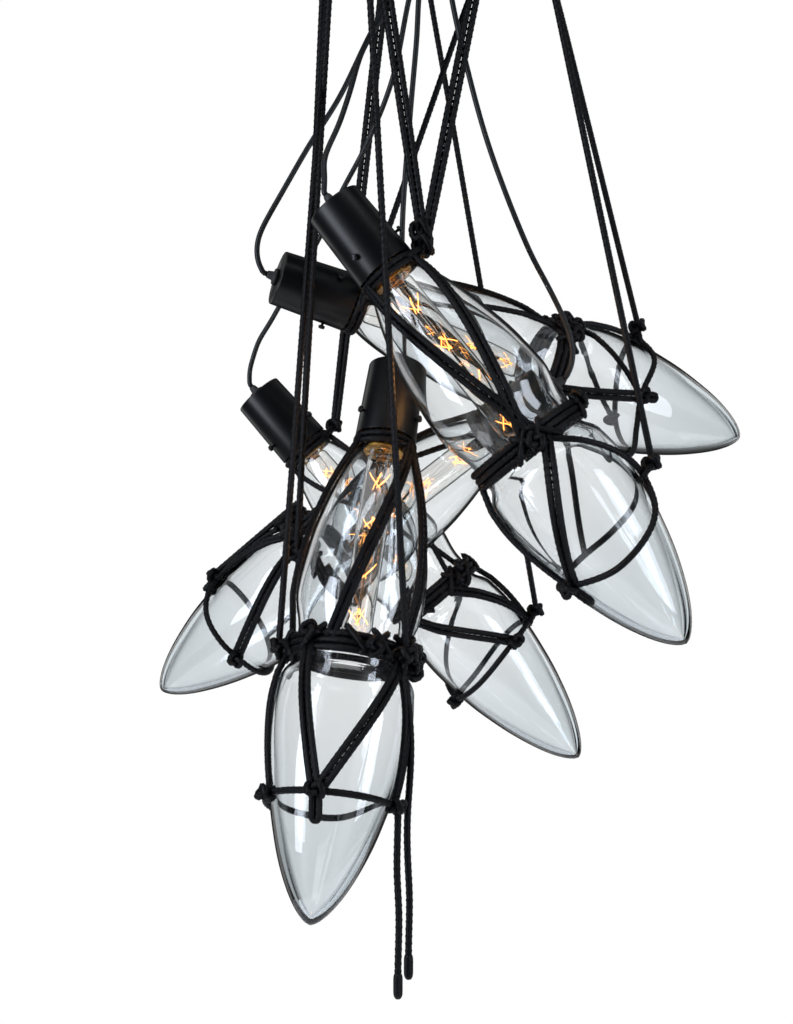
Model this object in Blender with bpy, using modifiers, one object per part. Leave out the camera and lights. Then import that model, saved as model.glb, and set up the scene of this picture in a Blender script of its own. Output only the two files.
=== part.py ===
"""A pendant light: five blown-glass vessels, each with a long tubular lamp, bound in black rope and hung as a bunch
under a round ceiling canopy. Metres, +Z up. The origin is the middle of the ceiling bracket's top face, which lies
against the ceiling. Each vessel is modelled upright below its own cap, and then leant and placed."""

import math

import bmesh
import bpy
import numpy as np
from mathutils import Matrix, Vector

# Clearances and ropes
SEAT_GAP = 0.0003
MERGE_DISTANCE = 0.00001
ROPE_DIAMETER = 0.006
CABLE_DIAMETER = 0.0055
ROPE_RADIUS = ROPE_DIAMETER / 2
CABLE_RADIUS = CABLE_DIAMETER / 2
CORD_SPACING = 3.3 * ROPE_DIAMETER
TAUT_SPACING = 5 * ROPE_DIAMETER
TAUT_BEND_SHARE = 0.25
SMOOTHING_STEPS = 16
NET_SPACING = 4.7 * ROPE_DIAMETER
NET_LIFT = 0.0018
KNOT_RADIUS = 0.0085
KNOT_SIDES = 7
KNOT_RINGS = 4

# Ceiling canopy and bracket
CANOPY_RADIUS = 0.175
CANOPY_HEIGHT = 0.030
CANOPY_WALL = 0.0015
CANOPY_LIP = 0.006
CANOPY_SIDES = 32
CABLE_HOLE_RADIUS = 0.0045
CABLE_HOLE_SIDES = 10
CABLE_RING_RADIUS = 0.016
CABLE_RISE = 0.006
BRACKET_WIDTH = 0.030
BRACKET_TOP_LENGTH = 0.090
BRACKET_FOOT_LENGTH = 0.022
BRACKET_THICKNESS = 0.003
BRACKET_HOLE_RADIUS = 0.003
BRACKET_HOLE_SHARE = 0.36
TERMINAL_LENGTH = 0.060
TERMINAL_WIDTH = 0.020
TERMINAL_HEIGHT = 0.014
TERMINAL_EDGE = 0.002

# Cap, holder and lamp, measured down from the cap's top
CAP_LENGTH = 0.079
CAP_TOP_RADIUS = 0.0277
CAP_FOOT_RADIUS = 0.0300
CAP_WALL = 0.0015
CAP_EDGE = 0.0018
CAP_SIDES = 16
RELIEF_COLLAR_RADIUS = 0.0085
RELIEF_COLLAR_HEIGHT = 0.004
RELIEF_SHANK_RADIUS = 0.005
RELIEF_LENGTH = 0.018
RELIEF_TIP_RADIUS = 0.0036
RELIEF_SIDES = 8
HOLDER_RADIUS = 0.0185
HOLDER_LENGTH = 0.094
HOLDER_NOSE_RADIUS = 0.011
HOLDER_NOSE_HEIGHT = 0.008
HOLDER_BORE_RADIUS = 0.0140
HOLDER_BORE_DEPTH = 0.030
HOLDER_RIM = 0.004
HOLDER_RIM_PROUD = 0.0015
HOLDER_SIDES = 12
LAMP_BASE_RADIUS = 0.0132
LAMP_BASE_LENGTH = 0.026
LAMP_CONTACT_RADIUS = 0.006
LAMP_CONTACT_HEIGHT = 0.003
LAMP_GLASS_RADIUS = 0.0150
LAMP_NECK_RADIUS = 0.0125
LAMP_NECK_LENGTH = 0.008
LAMP_WALL = 0.0011
LAMP_GLASS_LENGTH = 0.190
LAMP_SIDES = 8
STEM_RADIUS = 0.006
STEM_FOOT_RADIUS = 0.009
STEM_LENGTH = 0.026
ROD_RADIUS = 0.0016
ROD_LENGTH = 0.148
STAR_RADIUS = 0.0075
STAR_HEIGHT = 0.0015
STAR_COUNT = 3
STEM_SIDES = 8

# Glass vessel: stations are shares of the way from the cap's foot to the tip
BODY_LENGTH = 0.463
NECK_RADIUS = 0.025
NECK_GRIP = 0.020
NECK_LIP_HEIGHT = 0.005
GLASS_WALL = 0.003
TIP_THICKNESS = 0.018
NECK_END_SHARE = 0.028
UPPER_BELLY_RADIUS = 0.058
UPPER_BELLY_SHARE = 0.36
WAIST_RADIUS = 0.051
WAIST_SHARE = 0.477
RIDGE_RADIUS = 0.0600
RIDGE_SHARE = 0.545
LOWER_BELLY_RADIUS = 0.062
LOWER_BELLY_SHARE = 0.60
UPPER_SWELL_POWER = 0.8
TIP_ROUND_POWER = 1.7
TIP_POINT_POWER = 0.65
GLASS_SIDES = 16
UPPER_SHARES = (0.028, 0.09, 0.18, 0.36, 0.41)
LOWER_SHARES = (0.545, 0.60, 0.72, 0.83, 0.92, 0.97)
INNER_UPPER_SHARES = (0.028, 0.16, 0.36)
INNER_LOWER_SHARES = (0.60, 0.80, 0.92)

# Waist binding
BINDING_TURNS = 3
BINDING_POINTS = 16
BINDING_PITCH = ROPE_DIAMETER + 0.0008

# Tails
TAIL_FERRULE_RADIUS = 0.0042
TAIL_FERRULE_LENGTH = 0.020
WAIST_TAIL_DROP = 0.245
GIRDLE_TAIL_DROP = 0.165

# Where each vessel hangs. The bunch spreads as far as its vessels are long and wide, round a middle at the hanging
# depth. Each row gives the middle of a cap's top from there, as shares of the bunch's spread, the lean of the
# vessel's axis from straight down, the bearing of its tip, the length of its body and its girth as shares of the
# sizes above, and the bearing of the line under the canopy that it swings about. Its binding starts at the given
# degrees.
HANGING_DEPTH = 0.600
BUNCH_SPREAD = CAP_LENGTH + BODY_LENGTH + UPPER_BELLY_RADIUS
VESSELS = {
    1: {"top_shares": (-0.1523, -0.1478, 0.4337), "lean": 38.6, "bearing": -5.7, "body_share": 0.966,
        "girth_share": 1.040, "swing_bearing": 180, "binding_start": 100.0},
    2: {"top_shares": (-0.2552, 0.0242, 0.3470), "lean": 73.4, "bearing": 15.4, "body_share": 1.004,
        "girth_share": 1.0, "swing_bearing": 0, "binding_start": 100.0},
    3: {"top_shares": (-0.3160, 0.3212, 0.1742), "lean": 41.5, "bearing": -2.7, "body_share": 1.015,
        "girth_share": 0.957, "swing_bearing": 0, "binding_start": 100.0},
    4: {"top_shares": (-0.0530, -0.0145, 0.1883), "lean": 22.9, "bearing": -110.8, "body_share": 1.0,
        "girth_share": 1.038, "swing_bearing": 98.2, "binding_start": 90.5},
    5: {"top_shares": (0.2113, -0.0050, 0.1615), "lean": 53.8, "bearing": 161.2, "body_share": 1.011,
        "girth_share": 0.961, "swing_bearing": 291.6, "binding_start": 100.5},
}

# Each net's ropes: places on the glass as (station share, degrees round from the upper side)
NECK_RING_POINTS = 10
BRIDGE_SHARES = (0.3, 0.7)
NETS = {
    1: {
        "girdle": ((0.665, -4), (0.742, -31), (0.782, -94), (0.758, -145), (0.748, 180), (0.737, 117),
                   (0.734, 78), (0.715, 37)),
        "spine": ((0.011, -14), (0.09, -24), (0.179, -41), (0.305, -70), (0.42, -84)),
        "spine_low": ((0.53, -76), (0.56, -80), (0.629, -101), (0.758, -142)),
        "upper": (((0.011, -150), (0.114, -135), (0.246, -105), (0.36, -90), (0.42, -84)),),
        "lower": (((0.53, -62), (0.60, -36), (0.668, -6)),
                  ((0.53, -172), (0.62, -165), (0.756, -150)),
                  ((0.53, 60), (0.62, 84), (0.736, 112))),
        "knots": ((0.756, -146),),
    },
    2: {
        "girdle": ((0.655, -16), (0.71, -95), (0.74, -155), (0.745, 150), (0.725, 90), (0.685, 30)),
        "spine": ((0.011, -95), (0.10, -78), (0.22, -60), (0.34, -48), (0.42, -45)),
        "spine_low": ((0.53, -45), (0.58, -66), (0.64, -84), (0.706, -94)),
        "upper": (((0.011, 20), (0.16, 0), (0.30, -28), (0.42, -45)),),
        "lower": (((0.53, -113), (0.60, -106), (0.71, -96)),
                  ((0.53, 20), (0.60, 70), (0.725, 104)),
                  ((0.53, -25), (0.60, -20), (0.655, -16))),
        "knots": ((0.71, -95), (0.725, 104)),
    },
    3: {
        "girdle": ((0.655, 0), (0.675, -60), (0.70, -120), (0.70, -174), (0.70, 125), (0.675, 60)),
        "spine": ((0.011, -6), (0.14, -12), (0.30, -30), (0.42, -50)),
        "spine_low": ((0.53, -60), (0.58, -44), (0.662, -18)),
        "upper": (((0.011, -160), (0.16, -140), (0.30, -85), (0.42, -50)),),
        "lower": (((0.53, 8), (0.59, 3), (0.652, 0)),
                  ((0.53, -118), (0.60, -92), (0.672, -58)),
                  ((0.53, 178), (0.62, -178), (0.70, -174))),
        "knots": ((0.70, -174),),
    },
    4: {
        "girdle": ((0.775, -42), (0.771, 10), (0.766, 56), (0.762, 100), (0.755, 146), (0.78, -169), (0.785, -131),
                   (0.785, -85)),
        "spine": ((0.011, 84), (0.12, 78), (0.24, 44), (0.36, 20), (0.42, 10)),
        "spine_low": ((0.53, -8), (0.58, -12), (0.66, -3), (0.766, 9)),
        "upper": (((0.011, -34), (0.10, -20), (0.21, -11), (0.33, -26), (0.42, -58)),
                  ((0.011, 84), (0.14, 98), (0.28, 108), (0.42, 84))),
        "lower": (((0.53, 66), (0.62, 46), (0.768, 12)),
                  ((0.53, -58), (0.62, -52), (0.772, -43)),
                  ((0.53, 122), (0.63, 120), (0.762, 104))),
        "knots": ((0.775, -43), (0.769, 11), (0.762, 95)),
    },
    5: {
        "girdle": ((0.71, 17), (0.748, 60), (0.752, 100), (0.748, 124), (0.752, 180), (0.752, -110), (0.735, -40)),
        "spine": ((0.011, 90), (0.15, 80), (0.30, 60), (0.42, 42)),
        "spine_low": ((0.53, 40), (0.60, 32), (0.706, 19)),
        "upper": (((0.011, 0), (0.15, 5), (0.30, 22), (0.42, 42)),),
        "lower": (((0.53, 8), (0.60, 12), (0.706, 17)),
                  ((0.53, 76), (0.62, 100), (0.745, 122)),
                  ((0.53, -90), (0.62, -98), (0.75, -108))),
        "knots": ((0.71, 17), (0.748, 123)),
    },
}

# Hanging ropes: the vessel each carries, the canopy places it starts from as shares of the canopy's radius, and
# the place of its knot on that vessel's net, or the degrees round its neck ring. The first listed for a vessel
# starts on the line that the vessel swings about.
HANGERS = {
    "neck_rope_1": {"vessel": 1, "start_shares": ((-0.326, -0.503), (0.354, -0.503)), "ring_degrees": 0},
    "girdle_rope_1": {"vessel": 1, "start_shares": ((0.543, -0.503),), "net_place": (0.665, -4)},
    "neck_rope_2": {"vessel": 2, "start_shares": ((0.360, 0.354),), "ring_degrees": -70},
    "girdle_rope_2": {"vessel": 2, "start_shares": ((0.703, 0.354),), "net_place": (0.655, -16)},
    "neck_rope_3": {"vessel": 3, "start_shares": ((-0.257, 0.857),), "ring_degrees": 0},
    "girdle_rope_3": {"vessel": 3, "start_shares": ((0.014, 0.857),), "net_place": (0.655, 0)},
    "left_rope_4": {"vessel": 4, "start_shares": ((-0.480, -0.034),), "net_place": (0.478, -67)},
    "right_rope_4": {"vessel": 4, "start_shares": ((-0.360, -0.870),), "net_place": (0.4834, 68)},
    "front_rope_5": {"vessel": 5, "start_shares": ((-0.411, -0.286),), "net_place": (0.4834, 78)},
    "rear_rope_5": {"vessel": 5, "start_shares": ((-0.606, 0.206),), "net_place": (0.480, -12)},
}

# Power cables: the points each passes on its way from its strain relief to the canopy
CABLE_ROUTES = {
    1: ((-0.1000, -0.0830, -0.3130), (-0.1010, -0.0750, -0.2940), (-0.0870, -0.0620, -0.2560),
        (-0.0770, -0.0490, -0.2210), (-0.0660, -0.0350, -0.1790), (-0.0450, -0.0220, -0.1370),
        (-0.0250, -0.0160, -0.0950)),
    2: ((-0.1740, 0.0100, -0.3720), (-0.1690, 0.0080, -0.3440), (-0.1450, 0.0060, -0.3030),
        (-0.1200, 0.0050, -0.2600), (-0.0890, 0.0040, -0.2110), (-0.0620, 0.0020, -0.1560),
        (-0.0360, 0.0020, -0.1050)),
    3: ((-0.2010, 0.1900, -0.4660), (-0.1920, 0.1780, -0.4370), (-0.1550, 0.1540, -0.3880),
        (-0.1190, 0.1280, -0.3350), (-0.0910, 0.1020, -0.2850), (-0.0630, 0.0780, -0.2390),
        (-0.0360, 0.0500, -0.1790), (-0.0190, 0.0230, -0.1050)),
    4: ((-0.0270, -0.0030, -0.4480), (-0.0260, -0.0080, -0.3390), (-0.0180, -0.0110, -0.2290),
        (-0.0120, -0.0120, -0.1600), (-0.0080, -0.0130, -0.1000)),
    5: ((0.1390, -0.0070, -0.4730), (0.1350, -0.0080, -0.4400), (0.1200, -0.0070, -0.4050),
        (0.1010, -0.0050, -0.3680), (0.0620, -0.0030, -0.2670), (0.0390, -0.0010, -0.1840),
        (0.0220, 0.0000, -0.1050)),
}
CABLE_HOLE_DEGREES = {1: 231, 2: 152, 3: 97, 4: 292, 5: 15}

# Loose tails of vessel 4: the hanging rope or the place on the net whose knot each comes out of, the places on the
# glass that it lies over first, and how far it then hangs down
TAILS = {
    "waist_tail_4": {"hanger": "right_rope_4", "over": ((0.53, 71), (0.575, 78)), "drop": WAIST_TAIL_DROP},
    "girdle_tail_4": {"net_place": (0.762, 95), "over": (), "drop": GIRDLE_TAIL_DROP},
}

MATERIALS = {
    "black_lacquer": ((0.012, 0.013, 0.015), 0.35, 0.6),
    "brass": ((0.60, 0.38, 0.12), 0.30, 1.0),
    "clear_glass": ((0.90, 0.93, 0.95), 0.03, 0.0),
    "filament": ((1.0, 0.42, 0.08), 0.50, 0.0),
    "rubber": ((0.03, 0.03, 0.032), 0.60, 0.0),
    "cable_sleeve": ((0.035, 0.040, 0.045), 0.45, 0.0),
    "rope": ((0.010, 0.010, 0.012), 0.85, 0.0),
    "zinc_steel": ((0.55, 0.55, 0.56), 0.40, 1.0),
    "nylon": ((0.80, 0.78, 0.72), 0.50, 0.0),
}


def clear_scene():
    for thing in list(bpy.data.objects):
        bpy.data.objects.remove(thing, do_unlink=True)


def material(name):
    found = bpy.data.materials.get(name)
    if found:
        return found
    colour, roughness, metallic = MATERIALS[name]
    made = bpy.data.materials.new(name)
    made.use_nodes = True
    shader = made.node_tree.nodes["Principled BSDF"]
    shader.inputs["Base Color"].default_value = (*colour, 1)
    shader.inputs["Roughness"].default_value = roughness
    shader.inputs["Metallic"].default_value = metallic
    return made


def finish(piece, material_name, parent):
    """Puts a piece in the light's collection, with its material and its parent empty."""
    piece.data.materials.clear()
    piece.data.materials.append(material(material_name))
    piece.parent = parent
    if piece.type == "MESH":
        piece.data.shade_smooth()
        piece.data.set_sharp_from_angle(angle=math.radians(35))
    return piece


def turned(name, outline, sides, material_name, parent):
    """A turned piece: its outline, as (radius, height) places, is carried round Z by a Screw modifier."""
    mesh = bpy.data.meshes.new(name)
    count = len(outline)
    on_axis = outline[0][0] == 0 and outline[-1][0] == 0
    edges = [(i, i + 1) for i in range(count - 1)] + ([] if on_axis else [(count - 1, 0)])
    mesh.from_pydata([(radius, 0, height) for radius, height in outline], edges, [])
    piece = bpy.data.objects.new(name, mesh)
    LIGHT.objects.link(piece)
    screw = piece.modifiers.new("turn", "SCREW")
    screw.steps = screw.render_steps = sides
    screw.use_merge_vertices = True
    screw.merge_threshold = MERGE_DISTANCE
    return finish(piece, material_name, parent)


def glass_radius(share, girth):
    """The vessel's outer radius at a share of the way from the cap's foot to its tip: a straight neck, a swelling
    upper belly, a flat rope groove at the waist, a round shoulder and a lower belly drawn to a point."""
    belly, waist = UPPER_BELLY_RADIUS * girth, WAIST_RADIUS * girth
    ridge, lower = RIDGE_RADIUS * girth, LOWER_BELLY_RADIUS * girth
    half_groove = groove_half_share()
    if share <= NECK_END_SHARE:
        return NECK_RADIUS
    if share <= UPPER_BELLY_SHARE:
        way = (share - NECK_END_SHARE) / (UPPER_BELLY_SHARE - NECK_END_SHARE)
        return NECK_RADIUS + (belly - NECK_RADIUS) * math.sin(math.pi / 2 * way) ** UPPER_SWELL_POWER
    if share <= WAIST_SHARE - half_groove:
        way = (share - UPPER_BELLY_SHARE) / (WAIST_SHARE - half_groove - UPPER_BELLY_SHARE)
        return belly - (belly - waist) * (1 - math.cos(math.pi * way)) / 2
    if share <= WAIST_SHARE + half_groove:
        return waist
    if share <= RIDGE_SHARE:
        way = (share - WAIST_SHARE - half_groove) / (RIDGE_SHARE - WAIST_SHARE - half_groove)
        return waist + (ridge - waist) * math.sin(math.pi / 2 * way)
    if share <= LOWER_BELLY_SHARE:
        way = (share - RIDGE_SHARE) / (LOWER_BELLY_SHARE - RIDGE_SHARE)
        return ridge + (lower - ridge) * math.sin(math.pi / 2 * way)
    way = (share - LOWER_BELLY_SHARE) / (1 - LOWER_BELLY_SHARE)
    return lower * max(1 - way**TIP_ROUND_POWER, 0) ** TIP_POINT_POWER


def groove_half_share():
    """Half the groove's width, which the binding fills with a rope's clearance on each side."""
    return ((BINDING_TURNS + 1) * BINDING_PITCH / 2 + SEAT_GAP) / BODY_LENGTH


def body_length(size):
    return size["body_share"] * BODY_LENGTH


def station(share, size):
    """The height, below the cap's top, of a share of the way down the glass body."""
    return -CAP_LENGTH - share * body_length(size)


def cap_inner_radius(height):
    """The cap's inner radius at a height below its top."""
    slope = (CAP_FOOT_RADIUS - CAP_TOP_RADIUS) / CAP_LENGTH
    return CAP_TOP_RADIUS - CAP_WALL - slope * height


def make_vessel(number, size, parent):
    """The blown vessel. The rolled lip at the top of its neck is what the cap's thumbscrews hold."""
    girth = size["girth_share"]
    neck_top = -CAP_LENGTH + NECK_GRIP
    lip_radius = cap_inner_radius(neck_top) - SEAT_GAP
    groove = (WAIST_SHARE - groove_half_share(), WAIST_SHARE + groove_half_share())
    outer = [(lip_radius, neck_top), (lip_radius, neck_top - NECK_LIP_HEIGHT)]
    outer.append((NECK_RADIUS, neck_top - NECK_LIP_HEIGHT))
    for share in (*UPPER_SHARES, *groove, *LOWER_SHARES):
        outer.append((glass_radius(share, girth), station(share, size)))
    inner = []
    for share in (*INNER_UPPER_SHARES, *groove, *INNER_LOWER_SHARES):
        inner.append((glass_radius(share, girth) - GLASS_WALL, station(share, size)))
    # The outline meets the axis at the tip and at the floor of the hollow, so it runs from one to the other
    tip = [(0, station(1, size))]
    floor = [(0, station(1, size) + TIP_THICKNESS)]
    outline = floor + inner[::-1] + [(NECK_RADIUS - GLASS_WALL, neck_top)] + outer + tip
    return turned(f"glass_vessel_{number}", outline, GLASS_SIDES, "clear_glass", parent)


def make_cap(number, parent):
    hole = RELIEF_SHANK_RADIUS + SEAT_GAP
    outline = [
        (hole, 0),
        (CAP_TOP_RADIUS - CAP_EDGE, 0),
        (CAP_TOP_RADIUS, -CAP_EDGE),
        (CAP_FOOT_RADIUS, -CAP_LENGTH),
        (cap_inner_radius(-CAP_LENGTH), -CAP_LENGTH),
        (cap_inner_radius(-CAP_WALL), -CAP_WALL),
        (hole, -CAP_WALL),
    ]
    return turned(f"cap_{number}", outline, CAP_SIDES, "black_lacquer", parent)


def make_strain_relief(number, parent):
    outline = [
        (0, RELIEF_LENGTH),
        (RELIEF_TIP_RADIUS, RELIEF_LENGTH),
        (RELIEF_SHANK_RADIUS, RELIEF_COLLAR_HEIGHT + SEAT_GAP),
        (RELIEF_COLLAR_RADIUS, RELIEF_COLLAR_HEIGHT + SEAT_GAP),
        (RELIEF_COLLAR_RADIUS, SEAT_GAP),
        (RELIEF_SHANK_RADIUS, SEAT_GAP),
        (RELIEF_SHANK_RADIUS, -CAP_WALL),
        (0, -CAP_WALL),
    ]
    return turned(f"strain_relief_{number}", outline, RELIEF_SIDES, "rubber", parent)


def make_lampholder(number, parent):
    top = -CAP_WALL - SEAT_GAP
    foot = -HOLDER_LENGTH
    outline = [
        (0, top),
        (HOLDER_NOSE_RADIUS, top),
        (HOLDER_RADIUS, top - HOLDER_NOSE_HEIGHT),
        (HOLDER_RADIUS, foot + HOLDER_RIM),
        (HOLDER_RADIUS + HOLDER_RIM_PROUD, foot + HOLDER_RIM),
        (HOLDER_RADIUS + HOLDER_RIM_PROUD, foot),
        (HOLDER_BORE_RADIUS, foot),
        (HOLDER_BORE_RADIUS, foot + HOLDER_BORE_DEPTH),
        (0, foot + HOLDER_BORE_DEPTH),
    ]
    return turned(f"lampholder_{number}", outline, HOLDER_SIDES, "brass", parent)


def lamp_base_top():
    return -HOLDER_LENGTH + HOLDER_BORE_DEPTH - SEAT_GAP


def make_lamp(number, parent):
    """The lamp: a brass base with the glass stem, rod and wire supports on it, and the long glass tube round them."""
    top = lamp_base_top()
    shell_top = top - LAMP_CONTACT_HEIGHT
    foot = shell_top - LAMP_BASE_LENGTH
    stem_foot = foot - STEM_LENGTH
    outline = [
        (0, top),
        (LAMP_CONTACT_RADIUS, top),
        (LAMP_BASE_RADIUS, shell_top),
        (LAMP_BASE_RADIUS, foot),
        (STEM_FOOT_RADIUS, foot),
        (STEM_RADIUS, stem_foot),
        (ROD_RADIUS, stem_foot),
    ]
    for index in range(STAR_COUNT):
        middle = stem_foot - ROD_LENGTH * (index + 1) / STAR_COUNT
        outline += [(ROD_RADIUS, middle + STAR_HEIGHT), (STAR_RADIUS, middle)]
    outline += [(0, stem_foot - ROD_LENGTH - STAR_HEIGHT)]
    turned(f"lamp_mount_{number}", outline, STEM_SIDES, "brass", parent)
    neck_top = foot - SEAT_GAP
    shoulder = neck_top - LAMP_NECK_LENGTH
    end = neck_top - LAMP_GLASS_LENGTH
    dome = end + LAMP_GLASS_RADIUS
    slant_share = 0.7
    inner_radius, inner_neck = LAMP_GLASS_RADIUS - LAMP_WALL, LAMP_NECK_RADIUS - LAMP_WALL
    outline = [
        (0, end + LAMP_WALL),
        (inner_radius * slant_share, end + LAMP_WALL + LAMP_GLASS_RADIUS * (1 - slant_share)),
        (inner_radius, dome),
        (inner_radius, shoulder),
        (inner_neck, neck_top - LAMP_WALL),
        (inner_neck, neck_top),
        (LAMP_NECK_RADIUS, neck_top),
        (LAMP_NECK_RADIUS, neck_top - LAMP_WALL),
        (LAMP_GLASS_RADIUS, shoulder),
        (LAMP_GLASS_RADIUS, dome),
        (LAMP_GLASS_RADIUS * slant_share, end + LAMP_GLASS_RADIUS * (1 - slant_share)),
        (0, end),
    ]
    turned(f"lamp_glass_{number}", outline, LAMP_SIDES, "clear_glass", parent)


def smooth_route(points, spacing, closed=False, lead=False):
    """Points an even spacing apart along a centripetal Catmull-Rom curve through the route's own points. With a lead,
    the first run between points stays straight, as rope or cable does where it leaves a hole or a gland."""
    places = np.array(points, float)
    if closed:
        padded = np.vstack([places[-1], places, places[0], places[1]])
    else:
        padded = np.vstack([2 * places[0] - places[1], places, 2 * places[-1] - places[-2]])
    gaps = np.sqrt(np.linalg.norm(np.diff(padded, axis=0), axis=1))[:, None]
    runs = np.diff(padded, axis=0) / gaps
    slopes = runs[:-1] + runs[1:] - (padded[2:] - padded[:-2]) / (gaps[:-1] + gaps[1:])
    ways = np.linspace(0, 1, SMOOTHING_STEPS, endpoint=False)[:, None]
    fine = []
    for start, end, gap, leaving, arriving in zip(padded[1:], padded[2:-1], gaps[1:], slopes, slopes[1:]):
        leaving, arriving, across = leaving * gap, arriving * gap, end - start
        bend = 3 * across - 2 * leaving - arriving
        fine.append(start + leaving * ways + bend * ways**2 + (leaving + arriving - 2 * across) * ways**3)
    fine = np.vstack(fine + [padded[-2][None]])
    if lead:
        fine = fine[SMOOTHING_STEPS:]
    along = np.concatenate([[0], np.cumsum(np.linalg.norm(np.diff(fine, axis=0), axis=1))])
    count = max(round(along[-1] / spacing), 2)
    marks = np.linspace(0, along[-1], count + 1)[: count if closed else None]
    route = np.column_stack([np.interp(marks, along, fine[:, axis]) for axis in range(3)])
    return np.vstack([places[:1], route]) if lead else route


def tube(name, points, radius, resolution, closed=False):
    curve = bpy.data.curves.new(name, "CURVE")
    curve.dimensions = "3D"
    curve.bevel_depth = radius
    curve.bevel_resolution = resolution
    curve.use_fill_caps = not closed
    spline = curve.splines.new("POLY")
    spline.points.add(len(points) - 1)
    spline.use_cyclic_u = closed
    for point, place in zip(spline.points, points):
        point.co = (*place, 1)
    piece = bpy.data.objects.new(name, curve)
    LIGHT.objects.link(piece)
    return piece


def as_mesh(piece):
    """The piece as a mesh object of its evaluated shape, with its caps welded on."""
    bpy.context.view_layer.update()
    graph = bpy.context.evaluated_depsgraph_get()
    mesh = bpy.data.meshes.new_from_object(piece.evaluated_get(graph))
    shape = bmesh.new()
    shape.from_mesh(mesh)
    bmesh.ops.remove_doubles(shape, verts=shape.verts, dist=MERGE_DISTANCE)
    bmesh.ops.recalc_face_normals(shape, faces=shape.faces)
    shape.to_mesh(mesh)
    shape.free()
    name, place = piece.name, piece.matrix_world.copy()
    bpy.data.objects.remove(piece, do_unlink=True)
    made = bpy.data.objects.new(name, mesh)
    made.matrix_world = place
    LIGHT.objects.link(made)
    return made


def knot(name, centre, seat):
    """A knot's lump, with a pole turned to the place that it sits on."""
    mesh = bpy.data.meshes.new(name)
    shape = bmesh.new()
    turn = (seat - centre).to_track_quat("Z", "Y").to_matrix().to_4x4()
    bmesh.ops.create_uvsphere(
        shape, u_segments=KNOT_SIDES, v_segments=KNOT_RINGS, radius=KNOT_RADIUS,
        matrix=Matrix.Translation(centre) @ turn,
    )
    shape.to_mesh(mesh)
    shape.free()
    piece = bpy.data.objects.new(name, mesh)
    LIGHT.objects.link(piece)
    return piece


def joined(name, pieces):
    """One closed body from pieces that run into each other, by Boolean union."""
    whole, *others = [as_mesh(piece) for piece in pieces]
    whole.name = name
    whole.data.name = name
    for index, other in enumerate(others):
        union = whole.modifiers.new(f"union_{index}", "BOOLEAN")
        union.operation = "UNION"
        union.solver = "MANIFOLD"
        union.object = other
    bpy.context.view_layer.update()
    graph = bpy.context.evaluated_depsgraph_get()
    mesh = bpy.data.meshes.new_from_object(whole.evaluated_get(graph))
    whole.modifiers.clear()
    whole.data = mesh
    for other in others:
        bpy.data.objects.remove(other, do_unlink=True)
    return whole


def on_glass(place, size, lift):
    """A place on the glass, (station share, degrees), lifted off it, in the vessel's own upright frame."""
    share, degrees = place
    radius = glass_radius(share, size["girth_share"]) + lift
    turn = math.radians(degrees)
    return Vector((radius * math.cos(turn), radius * math.sin(turn), station(share, size)))


def draped(places, size, lift, closed=False):
    """A rope's centre line over the glass, eased between its places as if the glass were unrolled flat."""
    unrolled = []
    turn = places[0][1]
    for share, degrees in places:
        turn += (degrees - turn + 180) % 360 - 180
        unrolled.append((share, turn))
    if closed:
        round_once = math.copysign(360, unrolled[-1][1] - unrolled[0][1])
        unrolled.append((unrolled[0][0], unrolled[0][1] + round_once))
    length, around = body_length(size), math.radians(LOWER_BELLY_RADIUS)
    flat = smooth_route([(share * length, turn * around, 0) for share, turn in unrolled], NET_SPACING)
    if closed:
        flat = flat[:-1]
    return [on_glass((down / length, across / around), size, lift) for down, across, _ in flat]


def binding_radius(size):
    """The middle of the binding's rope, out far enough that the chords between its points clear the glass, whose
    corners lie at whole steps from the upper side."""
    half_step = 180 / BINDING_POINTS
    off_middle = math.radians(abs(size["binding_start"] % (2 * half_step) - half_step))
    clear_radius = WAIST_RADIUS * size["girth_share"] + SEAT_GAP + ROPE_RADIUS
    return clear_radius * math.cos(off_middle) / math.cos(math.radians(half_step))


def make_binding(number, size, parent):
    """The waist binding: one unbroken rope wound in the groove, as a helix worked out loop by loop."""
    radius = binding_radius(size)
    middle = station(WAIST_SHARE, size)
    steps = BINDING_TURNS * BINDING_POINTS
    points = []
    for index in range(steps + 1):
        turn = math.radians(size["binding_start"]) + 2 * math.pi * index / BINDING_POINTS
        height = middle + BINDING_PITCH * BINDING_TURNS * (0.5 - index / steps)
        points.append(Vector((radius * math.cos(turn), radius * math.sin(turn), height)))
    first, last = points[0] - points[1], points[-1] - points[-2]
    points.insert(0, points[0] + first.normalized() * ROPE_DIAMETER)
    points.append(points[-1] + last.normalized() * ROPE_DIAMETER)
    spots = np.array([tuple(point) for point in points[1:-1]])
    apart = [
        np.linalg.norm(spots[BINDING_POINTS // 2 :] - spots[: -(BINDING_POINTS // 2)], axis=1).min(),
        np.linalg.norm(spots[BINDING_POINTS:] - spots[:-BINDING_POINTS], axis=1).min(),
    ]
    print(f"waist_binding_{number}: least gap between turns {(min(apart) - ROPE_DIAMETER) * 1000:.2f} mm")
    piece = tube(f"waist_binding_{number}", points, ROPE_RADIUS, 1)
    return finish(piece, "rope", parent)


def net_ring_share(size):
    """The neck ring's middle lies a rope's width and a clearance below the cap's foot."""
    return (ROPE_DIAMETER + SEAT_GAP) / body_length(size)


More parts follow.
